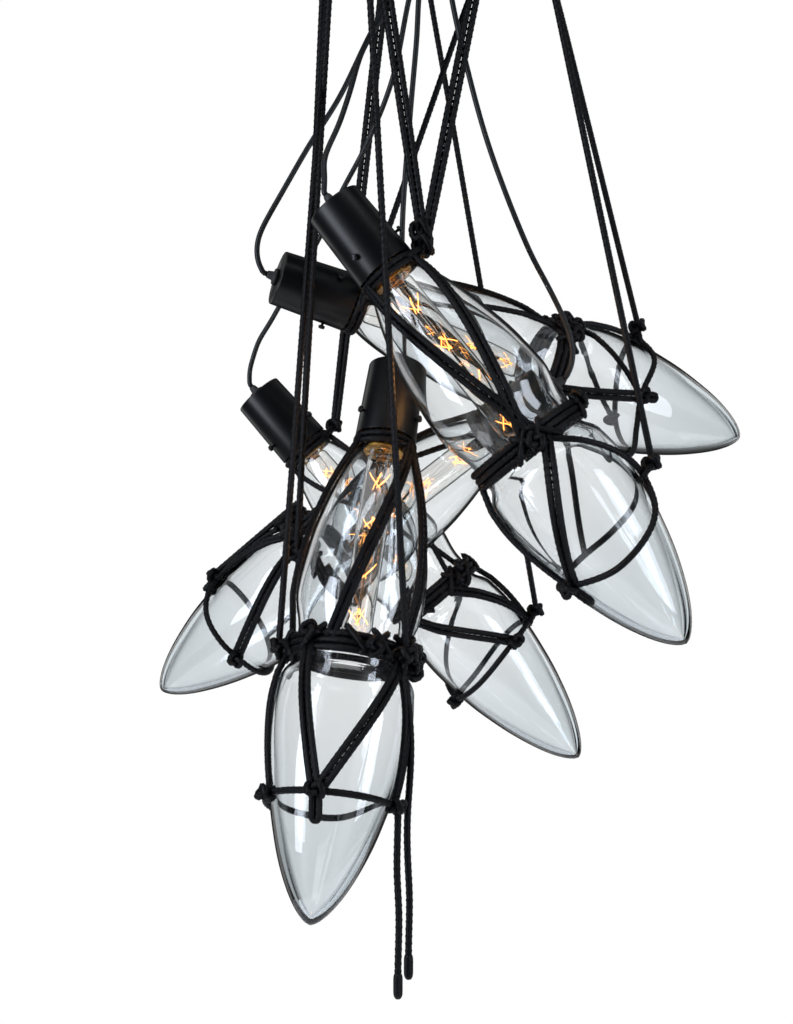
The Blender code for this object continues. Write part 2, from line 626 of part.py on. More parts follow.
def make_net(number, size, parent):
    """The rope net that carries a vessel: a ring round the neck, ropes down over the upper belly, one of which crosses
    the binding, and ropes from the waist to a girdle round the lower belly, joined at their knots."""
    routes = NETS[number]
    lift = ROPE_RADIUS + NET_LIFT
    turns = [360 * index / NECK_RING_POINTS for index in range(NECK_RING_POINTS)]
    ring = [on_glass((net_ring_share(size), turn), size, lift) for turn in turns]
    clear_radius = WAIST_RADIUS * size["girth_share"] + ROPE_RADIUS + 2 * SEAT_GAP + ROPE_DIAMETER
    bridge = clear_radius / math.cos(math.pi / BINDING_POINTS) ** 2
    start, end = routes["spine"][-1], routes["spine_low"][0]
    over = []
    for way_share in BRIDGE_SHARES:
        share = start[0] + (end[0] - start[0]) * way_share
        turn = math.radians(start[1] + (end[1] - start[1]) * way_share)
        over.append(Vector((bridge * math.cos(turn), bridge * math.sin(turn), station(share, size))))
    spine = draped(routes["spine"], size, lift) + over + draped(routes["spine_low"], size, lift)
    pieces = [tube("ring", ring, ROPE_RADIUS, 1, closed=True), tube("spine", spine, ROPE_RADIUS, 1)]
    pieces.append(tube("girdle", draped(routes["girdle"], size, lift, closed=True), ROPE_RADIUS, 1, closed=True))
    for index, route in enumerate(routes["upper"] + routes["lower"]):
        pieces.append(tube(f"rope_{index}", draped(route, size, lift), ROPE_RADIUS, 1))
    for index, place in enumerate(routes["knots"]):
        centre = on_glass(place, size, KNOT_RADIUS + SEAT_GAP)
        pieces.append(knot(f"knot_{index}", centre, on_glass(place, size, 0)))
    return finish(joined(f"rope_net_{number}", pieces), "rope", parent)


def vessel_matrix(size):
    lean, bearing = math.radians(size["lean"]), math.radians(size["bearing"])
    turn = Matrix.Rotation(bearing, 4, "Z") @ Matrix.Rotation(-lean, 4, "Y")
    top = Vector(size["top_shares"]) * BUNCH_SPREAD - Vector((0, 0, HANGING_DEPTH))
    return Matrix.Translation(top) @ turn


def empty(name, matrix, parent=None):
    made = bpy.data.objects.new(name, None)
    LIGHT.objects.link(made)
    made.matrix_world = matrix
    if parent:
        made.parent = parent
        made.matrix_parent_inverse = parent.matrix_world.inverted()
    return made


def ride(piece, parent):
    """Keeps a piece drawn in world places where it is, under its parent."""
    piece.parent = parent
    piece.matrix_parent_inverse = parent.matrix_world.inverted()


def canopy_place(shares):
    """A place on the canopy's underside, from shares of its radius."""
    return Vector((shares[0] * CANOPY_RADIUS, shares[1] * CANOPY_RADIUS, -CANOPY_HEIGHT))


def hanger_seat(hanger, size):
    """Where a hanging rope's knot sits on the neck ring, the binding or the net, and the middle of the knot."""
    place = (net_ring_share(size), hanger["ring_degrees"]) if "ring_degrees" in hanger else hanger["net_place"]
    lift = NET_LIFT + ROPE_DIAMETER
    if abs(place[0] - WAIST_SHARE) < groove_half_share():
        lift = binding_radius(size) + ROPE_RADIUS - WAIST_RADIUS * size["girth_share"]
    frame = vessel_matrix(size)
    return frame @ on_glass(place, size, lift), frame @ on_glass(place, size, lift + SEAT_GAP + KNOT_RADIUS)


def make_hanger(name, hanger, swing):
    """Taut ropes from the canopy's underside to one knot, joined there."""
    seat, end = hanger_seat(hanger, VESSELS[hanger["vessel"]])
    pieces = [knot("knot", end, seat)]
    for index, shares in enumerate(hanger["start_shares"]):
        start = canopy_place(shares) - Vector((0, 0, SEAT_GAP))
        drop = start - Vector((0, 0, ROPE_DIAMETER))
        steps = [start, drop, drop.lerp(end, TAUT_BEND_SHARE), end]
        pieces.append(tube(f"strand_{index}", smooth_route(steps, TAUT_SPACING, lead=True), ROPE_RADIUS, 2))
    piece = joined(name, pieces)
    finish(piece, "rope", None)
    ride(piece, swing)


def make_cable(number, size, swing):
    """A power cable, from its strain relief along its own route and up through its hole in the canopy."""
    frame = vessel_matrix(size)
    top = frame @ Vector((0, 0, RELIEF_LENGTH + SEAT_GAP))
    out = frame @ Vector((0, 0, RELIEF_LENGTH + SEAT_GAP + CABLE_DIAMETER))
    turn = math.radians(CABLE_HOLE_DEGREES[number])
    hole = Vector((CABLE_RING_RADIUS * math.cos(turn), CABLE_RING_RADIUS * math.sin(turn), -CANOPY_HEIGHT))
    steps = [top, out, *[Vector(place) for place in CABLE_ROUTES[number]]]
    steps.append(hole - Vector((0, 0, 2 * CABLE_DIAMETER)))
    route = list(smooth_route(steps, CORD_SPACING, lead=True)) + [hole + Vector((0, 0, CABLE_RISE))]
    piece = tube(f"power_cable_{number}", route, CABLE_RADIUS, 2)
    finish(piece, "cable_sleeve", None)
    ride(piece, swing)


def make_tail(name, tail, swing):
    """A loose rope end that comes out of a knot and hangs straight down, with a crimped ferrule on it."""
    size = VESSELS[4]
    frame = vessel_matrix(size)
    reach = KNOT_RADIUS + SEAT_GAP
    if "hanger" in tail:
        start = hanger_seat(HANGERS[tail["hanger"]], size)[1] - frame.to_3x3() @ Vector((0, 0, reach))
    else:
        start = frame @ on_glass(tail["net_place"], size, reach) - Vector((0, 0, reach))
    bends = [start] + [frame @ on_glass(place, size, NET_LIFT + ROPE_RADIUS) for place in tail["over"]]
    foot = bends[-1] - Vector((0, 0, tail["drop"]))
    crimp = foot + Vector((0, 0, TAIL_FERRULE_LENGTH))
    route = smooth_route([*bends, bends[-1].lerp(crimp, 0.5), crimp], CORD_SPACING)
    ferrule = tube("ferrule", [crimp + Vector((0, 0, ROPE_RADIUS)), foot], TAIL_FERRULE_RADIUS, 2)
    piece = joined(name, [tube("strand", route, ROPE_RADIUS, 2), ferrule])
    finish(piece, "rope", None)
    ride(piece, swing)


def make_canopy():
    """A spun steel dish, open at the ceiling, with a hole for each cable in the middle of its floor."""
    floor = -CANOPY_HEIGHT
    outline = [
        (0, floor + CANOPY_WALL),
        (CANOPY_RADIUS - CANOPY_LIP, floor + CANOPY_WALL),
        (CANOPY_RADIUS - CANOPY_WALL, floor + CANOPY_LIP),
        (CANOPY_RADIUS - CANOPY_WALL, -SEAT_GAP),
        (CANOPY_RADIUS, -SEAT_GAP),
        (CANOPY_RADIUS, floor + CANOPY_LIP),
        (CANOPY_RADIUS - CANOPY_LIP, floor),
        (0, floor),
    ]
    piece = turned("canopy", outline, CANOPY_SIDES, "black_lacquer", None)
    for number, degrees in CABLE_HOLE_DEGREES.items():
        turn = math.radians(degrees)
        mesh = bpy.data.meshes.new(f"cable_hole_{number}")
        shape = bmesh.new()
        bmesh.ops.create_cone(
            shape, cap_ends=True, segments=CABLE_HOLE_SIDES, radius1=CABLE_HOLE_RADIUS,
            radius2=CABLE_HOLE_RADIUS, depth=CANOPY_HEIGHT,
        )
        bmesh.ops.translate(
            shape,
            verts=shape.verts,
            vec=(CABLE_RING_RADIUS * math.cos(turn), CABLE_RING_RADIUS * math.sin(turn), floor),
        )
        shape.to_mesh(mesh)
        shape.free()
        cut(piece, mesh)
    return piece


def cut(piece, mesh):
    cutter = bpy.data.objects.new(mesh.name, mesh)
    CUTTERS.objects.link(cutter)
    cutter.hide_render = True
    cutter.display_type = "WIRE"
    hole = piece.modifiers.new(mesh.name, "BOOLEAN")
    hole.operation = "DIFFERENCE"
    hole.object = cutter


def make_bracket():
    """The bent steel strap that is screwed to the ceiling and carries the canopy on its feet."""
    half, foot = BRACKET_TOP_LENGTH / 2, BRACKET_FOOT_LENGTH
    floor = -CANOPY_HEIGHT + CANOPY_WALL + SEAT_GAP
    thick = BRACKET_THICKNESS
    side = [(0, 0), (half, 0), (half, floor + thick), (half + foot, floor + thick), (half + foot, floor),
            (half - thick, floor), (half - thick, -thick), (0, -thick)]
    outline = side + [(-x, z) for x, z in reversed(side[1:-1])]
    curve = bpy.data.curves.new("ceiling_bracket", "CURVE")
    curve.dimensions = "2D"
    curve.fill_mode = "BOTH"
    curve.extrude = BRACKET_WIDTH / 2
    spline = curve.splines.new("POLY")
    spline.points.add(len(outline) - 1)
    spline.use_cyclic_u = True
    for point, (x, z) in zip(spline.points, outline):
        point.co = (x, z, 0, 1)
    piece = bpy.data.objects.new("ceiling_bracket", curve)
    LIGHT.objects.link(piece)
    piece.matrix_world = Matrix.Rotation(math.radians(90), 4, "X")
    piece = as_mesh(piece)
    finish(piece, "zinc_steel", None)
    for side_sign in (-1, 1):
        mesh = bpy.data.meshes.new(f"ceiling_screw_hole_{side_sign + 1}")
        shape = bmesh.new()
        bmesh.ops.create_cone(
            shape, cap_ends=True, segments=12, radius1=BRACKET_HOLE_RADIUS, radius2=BRACKET_HOLE_RADIUS,
            depth=4 * BRACKET_THICKNESS,
        )
        bmesh.ops.translate(
            shape, verts=shape.verts, vec=(side_sign * BRACKET_HOLE_SHARE * BRACKET_TOP_LENGTH, 0, 0)
        )
        shape.to_mesh(mesh)
        shape.free()
        cut(piece, mesh)
    return piece


def make_terminal_block():
    """The nylon block, under the bracket's strap, where the lamps' cables meet the house wiring."""
    mesh = bpy.data.meshes.new("terminal_block")
    shape = bmesh.new()
    bmesh.ops.create_cube(shape, size=1)
    bmesh.ops.scale(shape, verts=shape.verts, vec=(TERMINAL_LENGTH, TERMINAL_WIDTH, TERMINAL_HEIGHT))
    height = -BRACKET_THICKNESS - SEAT_GAP - TERMINAL_HEIGHT / 2
    bmesh.ops.translate(shape, verts=shape.verts, vec=(0, 0, height))
    shape.to_mesh(mesh)
    shape.free()
    piece = bpy.data.objects.new("terminal_block", mesh)
    LIGHT.objects.link(piece)
    bevel = piece.modifiers.new("edges", "BEVEL")
    bevel.width = TERMINAL_EDGE
    bevel.segments = 1
    return finish(piece, "nylon", None)


def build():
    make_canopy()
    make_bracket()
    make_terminal_block()
    swings = {}
    for name, hanger in HANGERS.items():
        number = hanger["vessel"]
        if number not in swings:
            turn = Matrix.Rotation(math.radians(VESSELS[number]["swing_bearing"]), 4, "Z")
            pivot = Matrix.Translation(canopy_place(hanger["start_shares"][0]))
            swings[number] = empty(f"swing_{number}", pivot @ turn)
        make_hanger(name, hanger, swings[number])
    for number, size in VESSELS.items():
        frame = empty(f"vessel_frame_{number}", vessel_matrix(size), swings[number])
        make_cap(number, frame)
        make_strain_relief(number, frame)
        make_lampholder(number, frame)
        make_lamp(number, frame)
        make_vessel(number, size, frame)
        make_binding(number, size, frame)
        make_net(number, size, frame)
        make_cable(number, size, swings[number])
    for name, tail in TAILS.items():
        make_tail(name, tail, swings[4])


clear_scene()
LIGHT = bpy.data.collections.new("rope_bound_pendant_light")
CUTTERS = bpy.data.collections.new("cutters")
bpy.context.scene.collection.children.link(LIGHT)
bpy.context.scene.collection.children.link(CUTTERS)
build()
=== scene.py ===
"""A cluster pendant light: five blown-glass vessels, each with a long tubular filament lamp under a black
cap, bound in black braided rope and hung as a bunch under a round ceiling canopy. Metres, +Z up, the camera
looks along +Y."""

import math

import bmesh
import bpy
import numpy as np
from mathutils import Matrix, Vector
from mathutils.geometry import delaunay_2d_cdt


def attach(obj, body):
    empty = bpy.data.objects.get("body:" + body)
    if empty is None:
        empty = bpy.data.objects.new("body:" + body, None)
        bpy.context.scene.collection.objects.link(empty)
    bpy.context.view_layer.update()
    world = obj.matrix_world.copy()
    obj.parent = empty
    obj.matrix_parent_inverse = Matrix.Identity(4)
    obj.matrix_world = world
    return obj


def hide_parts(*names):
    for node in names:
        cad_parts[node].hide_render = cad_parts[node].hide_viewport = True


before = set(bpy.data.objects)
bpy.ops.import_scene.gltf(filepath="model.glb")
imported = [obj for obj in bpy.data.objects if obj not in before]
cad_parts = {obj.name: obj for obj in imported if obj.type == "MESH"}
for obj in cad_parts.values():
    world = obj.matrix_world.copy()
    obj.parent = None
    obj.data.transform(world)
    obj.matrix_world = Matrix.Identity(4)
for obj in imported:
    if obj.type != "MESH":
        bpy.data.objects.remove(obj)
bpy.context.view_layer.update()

MM = 0.001

# Studio
# The camera stands where the photograph was taken, level with the middle of the bunch. A white backdrop
# lies behind it and a pale floor far below. Tall strips of light stand at both sides, so that the glass
# gets long bright edges.
CAMERA_PLACE = (-0.032, -1.440, -0.630)
FOCAL_LENGTH = 50.354
FRAME_WIDTH = 36.0
FACING = (0.02, -1.0, 0.0)
AIM = Vector((0.0, 0.0, -0.66))
FLOOR_HEIGHT = -1.60
FLOOR_RADIUS = 1.15
STUDIO_LAMPS = {
    "left_box": ((-1.45, -1.05, -0.40), (0.60, 1.7), 28.0, "#EBF2FF"),
    "right_box": ((1.55, -0.95, -0.55), (0.50, 1.7), 18.0, "#EBF2FF"),
    "rear_left_box": ((-1.35, 1.35, -0.50), (0.50, 1.6), 1.6, "#FFFFFF"),
    "rear_right_box": ((1.35, 1.35, -0.50), (0.50, 1.6), 1.6, "#FFFFFF"),
    "overhead": ((0.0, -0.35, 1.25), (1.5, 1.5), 14.0, "#FFFFFF"),
}
# The world's light in the gaps and the middles of its panels and strips, and the share that side panels keep
PANEL_GLOW = (0.45, 0.97)
STRIP_GLOW = (0.02, 0.60)
SIDE_SHARE = 0.80
UPWARD_GLOW, DOWNWARD_GLOW, DIFFUSE_GLOW, BACKDROP_GLOW = 0.20, 0.30, 0.48, 1.0


def linear(colour):
    """A hex colour's three parts turned from sRGB to linear: the standard curve, which is a power of 2.4
    above its short straight foot."""
    parts = np.array([int(colour[i : i + 2], 16) for i in (1, 3, 5)]) / 255
    return tuple(np.where(parts <= 0.04045, parts / 12.92, ((parts + 0.055) / 1.055) ** 2.4).tolist())


def add_node(tree, kind, inputs=None, **settings):
    """Adds a shader node with its settings. Each input is given a value, or the socket that feeds it."""
    made = tree.nodes.new("ShaderNode" + kind)
    for name, value in settings.items():
        setattr(made, name, value)
    for name, value in (inputs or {}).items():
        if isinstance(value, bpy.types.NodeSocket):
            tree.links.new(value, made.inputs[name])
        else:
            made.inputs[name].default_value = value
    return made


def eased_range(tree, value, start, end, low=0.0, high=1.0):
    """The value carried by a smooth step from low at the start to high at the end."""
    inputs = {"Value": value, "From Min": start, "From Max": end, "To Min": low, "To Max": high}
    return add_node(tree, "MapRange", inputs, interpolation_type="SMOOTHSTEP").outputs[0]


def add_object(name, data, place=(0.0, 0.0, 0.0)):
    """Links a new object into the scene at its place."""
    made = bpy.data.objects.new(name, data)
    bpy.context.scene.collection.objects.link(made)
    made.location = place
    return made


camera = add_object("camera", bpy.data.cameras.new("camera"), CAMERA_PLACE)
camera.rotation_euler = (math.pi / 2, 0, 0)
camera.data.lens = FOCAL_LENGTH
camera.data.sensor_width = FRAME_WIDTH
bpy.context.scene.camera = camera
bpy.context.scene.view_settings.view_transform = "Standard"

for name, (place, extent, power, colour) in STUDIO_LAMPS.items():
    lamp = add_object(name, bpy.data.lights.new(name, "AREA"), place)
    lamp.data.shape = "RECTANGLE"
    lamp.data.size, lamp.data.size_y = extent
    lamp.data.energy = power
    lamp.data.color = linear(colour)
    lamp.rotation_euler = (AIM - Vector(place)).to_track_quat("-Z", "Y").to_euler()

world = bpy.context.scene.world = bpy.data.worlds.new("studio")
world.use_nodes = True
tree = world.node_tree
tree.nodes.clear()
# White where the camera looks past the object. Light that goes through glass comes from four wide white
# panels, one on each side, with grey gaps between them. Light that is thrown back, by gloss or inside a
# glass wall, comes from a dark room with narrow strips at the diagonals, so the glass has dark outlines.
# The ray depth tells the two apart: it is odd here after an even number of turns, a clear look through.
look = add_node(tree, "TexCoord")
parts = add_node(tree, "SeparateXYZ", {"Vector": look.outputs["Generated"]})
bearing = add_node(tree, "Math", {0: parts.outputs["Y"], 1: parts.outputs["X"]}, operation="ARCTAN2")
fourfold = add_node(tree, "Math", {0: bearing.outputs[0], 1: 4.0}, operation="MULTIPLY")
wave = add_node(tree, "Math", {0: fourfold.outputs[0]}, operation="COSINE")
panels = eased_range(tree, wave.outputs[0], -0.75, 0.5, *PANEL_GLOW)
strips = eased_range(tree, wave.outputs[0], -0.40, -0.95, *STRIP_GLOW)
path = add_node(tree, "LightPath")
sideways = add_node(tree, "Math", {0: parts.outputs["X"], 1: parts.outputs["X"]}, operation="MULTIPLY")
side_dimming = add_node(tree, "MapRange", {"Value": sideways.outputs[0], "From Min": 0.4, "From Max": 0.8,
                                           "To Min": 1.0, "To Max": SIDE_SHARE})
through = add_node(tree, "Math", {0: panels, 1: side_dimming.outputs[0]}, operation="MULTIPLY")
even_turns = add_node(tree, "Math", {0: path.outputs["Ray Depth"], 1: 2.0}, operation="MODULO")
clear = add_node(tree, "Math", {0: path.outputs["Is Transmission Ray"], 1: even_turns.outputs[0]},
                 operation="MULTIPLY")
shown = add_node(tree, "Mix", {0: clear.outputs[0], 2: strips, 3: through.outputs[0]}, data_type="FLOAT")
upward = eased_range(tree, parts.outputs["Z"], 0.50, 0.80)
downward = eased_range(tree, parts.outputs["Z"], -0.35, -0.70)
for where, light in ((upward, UPWARD_GLOW), (downward, DOWNWARD_GLOW),
                     (path.outputs["Is Diffuse Ray"], DIFFUSE_GLOW),
                     (path.outputs["Is Camera Ray"], BACKDROP_GLOW)):
    shown = add_node(tree, "Mix", {0: where, 2: shown.outputs[0], 3: light}, data_type="FLOAT")
sky = add_node(tree, "Background", {"Color": (1, 1, 1, 1), "Strength": shown.outputs[0]})
tree.links.new(sky.outputs[0], add_node(tree, "OutputWorld").inputs["Surface"])


def new_material(name, colour, roughness, **values):
    """A material that starts from its shader's own sockets. Further ones are named with underscores."""
    made = bpy.data.materials.new(name)
    made.use_nodes = True
    shader = made.node_tree.nodes["Principled BSDF"]
    shader.inputs["Base Color"].default_value = (*linear(colour), 1)
    shader.inputs["Roughness"].default_value = roughness
    for socket, value in values.items():
        shader.inputs[socket.replace("_", " ")].default_value = value
    return made, made.node_tree, shader


def add_grain(tree, shader, scale, detail, least, most):
    """A fine noise that moves the roughness between two values. Returns the noise for other uses."""
    marks = add_node(tree, "TexCoord")
    noise = add_node(tree, "TexNoise", {"Vector": marks.outputs["Object"], "Scale": scale, "Detail": detail})
    gloss = add_node(tree, "MapRange", {"Value": noise.outputs["Fac"], "To Min": least, "To Max": most})
    tree.links.new(gloss.outputs[0], shader.inputs["Roughness"])
    return noise


def mesh_piece(name, surface, material):
    """A mesh object at the origin from its surface: places, faces and, if given, a UV mark for each place."""
    places, faces, *marks = surface
    mesh = bpy.data.meshes.new(name)
    mesh.from_pydata(places.reshape(-1, 3), [], faces)
    if marks:
        corners = np.empty(len(mesh.loops), np.int32)
        mesh.loops.foreach_get("vertex_index", corners)
        layer = mesh.uv_layers.new(name="surface")
        layer.data.foreach_set("uv", marks[0].reshape(-1, 2)[corners].astype(np.float32).ravel())
    mesh.materials.append(material)
    mesh.shade_smooth()
    return add_object(name, mesh)


def grid_faces(rows, columns, end_on_end=False, capped=False):
    """The faces of a grid of places whose rows go round: quads between neighbours, from the last row back
    to the first where it goes end on end, and flat ends where it is capped."""
    index = np.arange(rows * columns).reshape(rows, columns)
    here, down = (index, np.roll(index, -1, 0)) if end_on_end else (index[:-1], index[1:])
    quads = np.stack([here, np.roll(here, -1, 1), np.roll(down, -1, 1), down], -1)
    faces = quads.reshape(-1, 4).tolist()
    if capped:
        faces += [index[0][::-1].tolist(), index[-1].tolist()]
    return faces


def join_meshes(parts):
    """Several (places, faces, marks) as one, each with its faces counted on from those before."""
    places, faces, marks, first = [], [], [], 0
    for spots, sides, uv in parts:
        places.append(spots.reshape(-1, 3))
        marks.append(uv.reshape(-1, 2))
        faces += [[corner + first for corner in side] for side in sides]
        first += len(places[-1])
    return np.vstack(places), faces, np.vstack(marks)


def circle(sides):
    """The angles of a whole turn's even steps."""
    return np.linspace(0, 2 * math.pi, sides, endpoint=False)


def polar(radius, turn, height):
    """Places or directions from a radius, an angle and a height."""
    return np.stack(np.broadcast_arrays(radius * np.cos(turn), radius * np.sin(turn), height), -1)


pale_floor, *_ = new_material("pale_floor_paper", "#F7F7F7", 0.9)
FLOOR_SIDES = 96
floor_places = polar(FLOOR_RADIUS, circle(FLOOR_SIDES), FLOOR_HEIGHT)
floor = mesh_piece("floor", (floor_places, [list(range(FLOOR_SIDES))]), pale_floor)


# Power cables
# Five round two-core cables in a smooth dark-grey sleeve, 5.5 mm across. Each comes out of its cap's strain
# relief, bends over in a loose arc and runs up with the ropes to its hole in the canopy.
CANOPY_HEIGHT = 0.030
CANOPY_RADIUS = 0.175
SEAT_GAP = 0.0003
CABLE_DIAMETER = 0.0055
CABLE_RADIUS = CABLE_DIAMETER / 2
CABLE_SIDES = 20
CABLE_STEP = 2.5 * MM
CABLE_EASING = 10
CABLE_RING_RADIUS = 0.016
CABLE_RISE = 0.006
BOOT_LENGTH = 0.011
HANGING_DEPTH = 0.600
# The middle of each cap's top as shares of the hanging depth, its lean, the bearing of its tip, its length
# and girth shares, and where its screws and its binding start
VESSELS = {
    1: {"top_shares": (-0.1523, -0.1478, -0.5663), "lean": 38.6, "bearing": -5.7, "length_share": 0.966,
        "girth_share": 1.040, "screws_start": 0, "binding_start": 100.0},
    2: {"top_shares": (-0.2552, 0.0242, -0.6530), "lean": 73.4, "bearing": 15.4, "length_share": 1.004,
        "girth_share": 1.0, "screws_start": -60, "binding_start": 100.0},
    3: {"top_shares": (-0.3160, 0.3212, -0.8258), "lean": 41.5, "bearing": -2.7, "length_share": 1.015,
        "girth_share": 0.957, "screws_start": -30, "binding_start": 100.0},
    4: {"top_shares": (-0.0530, -0.0145, -0.8117), "lean": 22.9, "bearing": -110.8, "length_share": 1.0,
        "girth_share": 1.038, "screws_start": -35, "binding_start": 90.5},
    5: {"top_shares": (0.2113, -0.0050, -0.8385), "lean": 53.8, "bearing": 161.2, "length_share": 1.011,
        "girth_share": 0.961, "screws_start": 60, "binding_start": 100.5},
}
# The points that each cable passes
CABLE_ROUTES = {
    1: ((-0.100, -0.083, -0.313), (-0.101, -0.075, -0.294), (-0.087, -0.062, -0.256),
        (-0.077, -0.049, -0.221), (-0.066, -0.035, -0.179), (-0.045, -0.022, -0.137),
        (-0.025, -0.016, -0.095)),
    2: ((-0.1717, 0.0092, -0.379), (-0.1735, 0.0088, -0.3665), (-0.1722, 0.0085, -0.3545),
        (-0.1677, 0.008, -0.343), (-0.145, 0.006, -0.303),
        (-0.120, 0.005, -0.260), (-0.089, 0.004, -0.211), (-0.062, 0.002, -0.156),
        (-0.036, 0.002, -0.105)),
    3: ((-0.1995, 0.192, -0.469), (-0.1955, 0.189, -0.456), (-0.1885, 0.183, -0.437),
        (-0.175, 0.172, -0.418), (-0.155, 0.154, -0.388),
        (-0.119, 0.128, -0.335), (-0.091, 0.102, -0.285), (-0.063, 0.078, -0.239),
        (-0.036, 0.050, -0.179), (-0.019, 0.023, -0.105)),
    4: ((-0.027, -0.003, -0.448), (-0.026, -0.008, -0.339), (-0.018, -0.011, -0.229),
        (-0.012, -0.012, -0.160), (-0.008, -0.013, -0.100)),
    5: ((0.1425, -0.0085, -0.4855), (0.1445, -0.009, -0.474), (0.142, -0.0085, -0.456),
        (0.135, -0.008, -0.436), (0.120, -0.007, -0.405),
        (0.101, -0.005, -0.368), (0.062, -0.003, -0.267), (0.039, -0.001, -0.184),
        (0.022, 0.000, -0.105)),
}
CABLE_HOLE_DEGREES = {1: 231, 2: 152, 3: 97, 4: 292, 5: 15}
SMOOTHING_STEPS = 16


def vessel_frame(size):
    """A vessel's frame as a matrix: leant by its angle about Y, turned to its bearing about Z, and moved so
    that its origin is the middle of its cap's top, with its own -Z running down to the tip."""
    lean, turn = -math.radians(size["lean"]), math.radians(size["bearing"])
    tilt = np.array([[math.cos(lean), 0, math.sin(lean)], [0, 1, 0], [-math.sin(lean), 0, math.cos(lean)]])
    spin = np.array([[math.cos(turn), -math.sin(turn), 0], [math.sin(turn), math.cos(turn), 0], [0, 0, 1]])
    return spin @ tilt, np.array(size["top_shares"]) * HANGING_DEPTH


def turned(directions, size):
    """Directions given in a vessel's own upright frame, turned as that vessel hangs."""
    return directions @ vessel_frame(size)[0].T


def placed(places, size):
    """Places given in a vessel's own upright frame, moved to where that vessel hangs."""
    turn, top = vessel_frame(size)
    return places @ turn.T + top


def smooth_route(points, spacing, lead=False):
    """Points an even spacing apart along a centripetal Catmull-Rom curve through the route's own points:
    each run's two slopes are the means of its neighbours', weighed by the square roots of their lengths.
    With a lead, the first run stays straight, as cable does where it leaves a gland."""
    places = np.array(points, float)
    padded = np.vstack([2 * places[0] - places[1], places, 2 * places[-1] - places[-2]])
    gaps = np.sqrt(np.linalg.norm(np.diff(padded, axis=0), axis=1))[:, None]
    runs = np.diff(padded, axis=0) / gaps
    slopes = runs[:-1] + runs[1:] - (padded[2:] - padded[:-2]) / (gaps[:-1] + gaps[1:])
    ways = np.linspace(0, 1, SMOOTHING_STEPS, endpoint=False)[:, None]
    fine = []
    for start, end, gap, leaving, arriving in zip(padded[1:], padded[2:-1], gaps[1:], slopes, slopes[1:]):
        leaving, arriving, across = leaving * gap, arriving * gap, end - start
        bend = 3 * across - 2 * leaving - arriving
        fine.append(start + leaving * ways + bend * ways**2 + (leaving + arriving - 2 * across) * ways**3)
    fine = np.vstack(fine + [padded[-2][None]])
    if lead:
        fine = np.vstack([places[0] + (places[1] - places[0]) * ways, fine[SMOOTHING_STEPS:]])
    return spaced(fine, spacing)


def lengths_along(line):
    """How far along the line each of its points lies."""
    return np.concatenate([[0], np.cumsum(np.linalg.norm(np.diff(line, axis=0), axis=1))])


def spaced(line, spacing):
    """The line's points again, an even spacing apart."""
    along = lengths_along(line)
    marks = np.linspace(0, along[-1], max(round(along[-1] / spacing), 3) + 1)
    return np.column_stack([np.interp(marks, along, line[:, axis]) for axis in range(3)])


def eased(line, times):
    """The line with its bends softened: each inner point moves, many times over, to the mean of itself and
    its two neighbours. The first three and the last three points stay."""
    line = line.copy()
    for _ in range(times):
        line[3:-3] = (line[2:-4] + line[3:-3] + line[4:-2]) / 3
    return line


def unit(vectors):
    """The vectors brought to a length of one."""
    return vectors / np.maximum(np.linalg.norm(vectors, axis=-1, keepdims=True), 1e-12)


def tube_surface(line, out, radius, sides, closed=False):
    """A tube along a centre line: each point's ring lies across the line's own direction, and is measured
    from the part of the outward direction, one for all points or one each, that lies across it. The radius
    is a number, or one for each ring and side. Returns places, faces, and UV marks in millimetres."""
    if closed:
        ahead = unit(np.roll(line, -1, 0) - np.roll(line, 1, 0))
    else:
        ahead = unit(np.gradient(line, axis=0))
    out = unit(out - (out * ahead).sum(-1, keepdims=True) * ahead)
    side = np.cross(ahead, out)
    turn = circle(sides)
    ring = np.cos(turn)[None, :, None] * out[:, None] + np.sin(turn)[None, :, None] * side[:, None]
    radius = np.broadcast_to(radius, (len(line), sides))
    places = line[:, None] + ring * radius[..., None]
    marks = np.stack(np.broadcast_arrays(turn * np.mean(radius), lengths_along(line)[:, None]), -1) / MM
    return places, grid_faces(len(line), sides, end_on_end=closed, capped=not closed), marks


# Cable sleeve: extruded, plasticised PVC, smooth and semi-matt, so it carries one soft line of light.
cable_sleeve, tree, shader = new_material("grey_pvc_sleeve", "#14181B", 0.42, Specular_IOR_Level=0.3)
add_grain(tree, shader, 180.0, 2.0, 0.34, 0.50)

for number, size in VESSELS.items():
    boot_top = BOOT_LENGTH + SEAT_GAP
    ends = placed(np.array([[0, 0, boot_top], [0, 0, boot_top + CABLE_RADIUS]]), size)
    hole = polar(CABLE_RING_RADIUS, math.radians(CABLE_HOLE_DEGREES[number]), -CANOPY_HEIGHT)
    points = [*ends, *CABLE_ROUTES[number], hole - (0, 0, 2 * CABLE_DIAMETER)]
    line = eased(smooth_route(points, CABLE_STEP, lead=True), CABLE_EASING)
    line = np.vstack([line, hole + (0, 0, CABLE_RISE)])
    surface = tube_surface(line, (0.0, -1.0, 0.02), CABLE_RADIUS, CABLE_SIDES)
    cable = mesh_piece(f"cable_{number}", surface[:2], cable_sleeve)
    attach(cable, f"pendant_{number}")
    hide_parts(f"power_cable_{number}")


# Hanging ropes
# Black braided polyester rope, 6 mm across, taut between the canopy and a hitch on a vessel's neck, waist
# or net. Where two strands hang side by side, each is a rope of its own that ends in the same hitch.
ROPE_DIAMETER = 0.006
ROPE_RADIUS = ROPE_DIAMETER / 2
SWING_GAP = 0.0008
ROPE_STEP = 1.0 * MM
ROPE_SIDES = 16
BRAID_CARRIERS = 6
BRAID_PITCH = 6.4 * MM
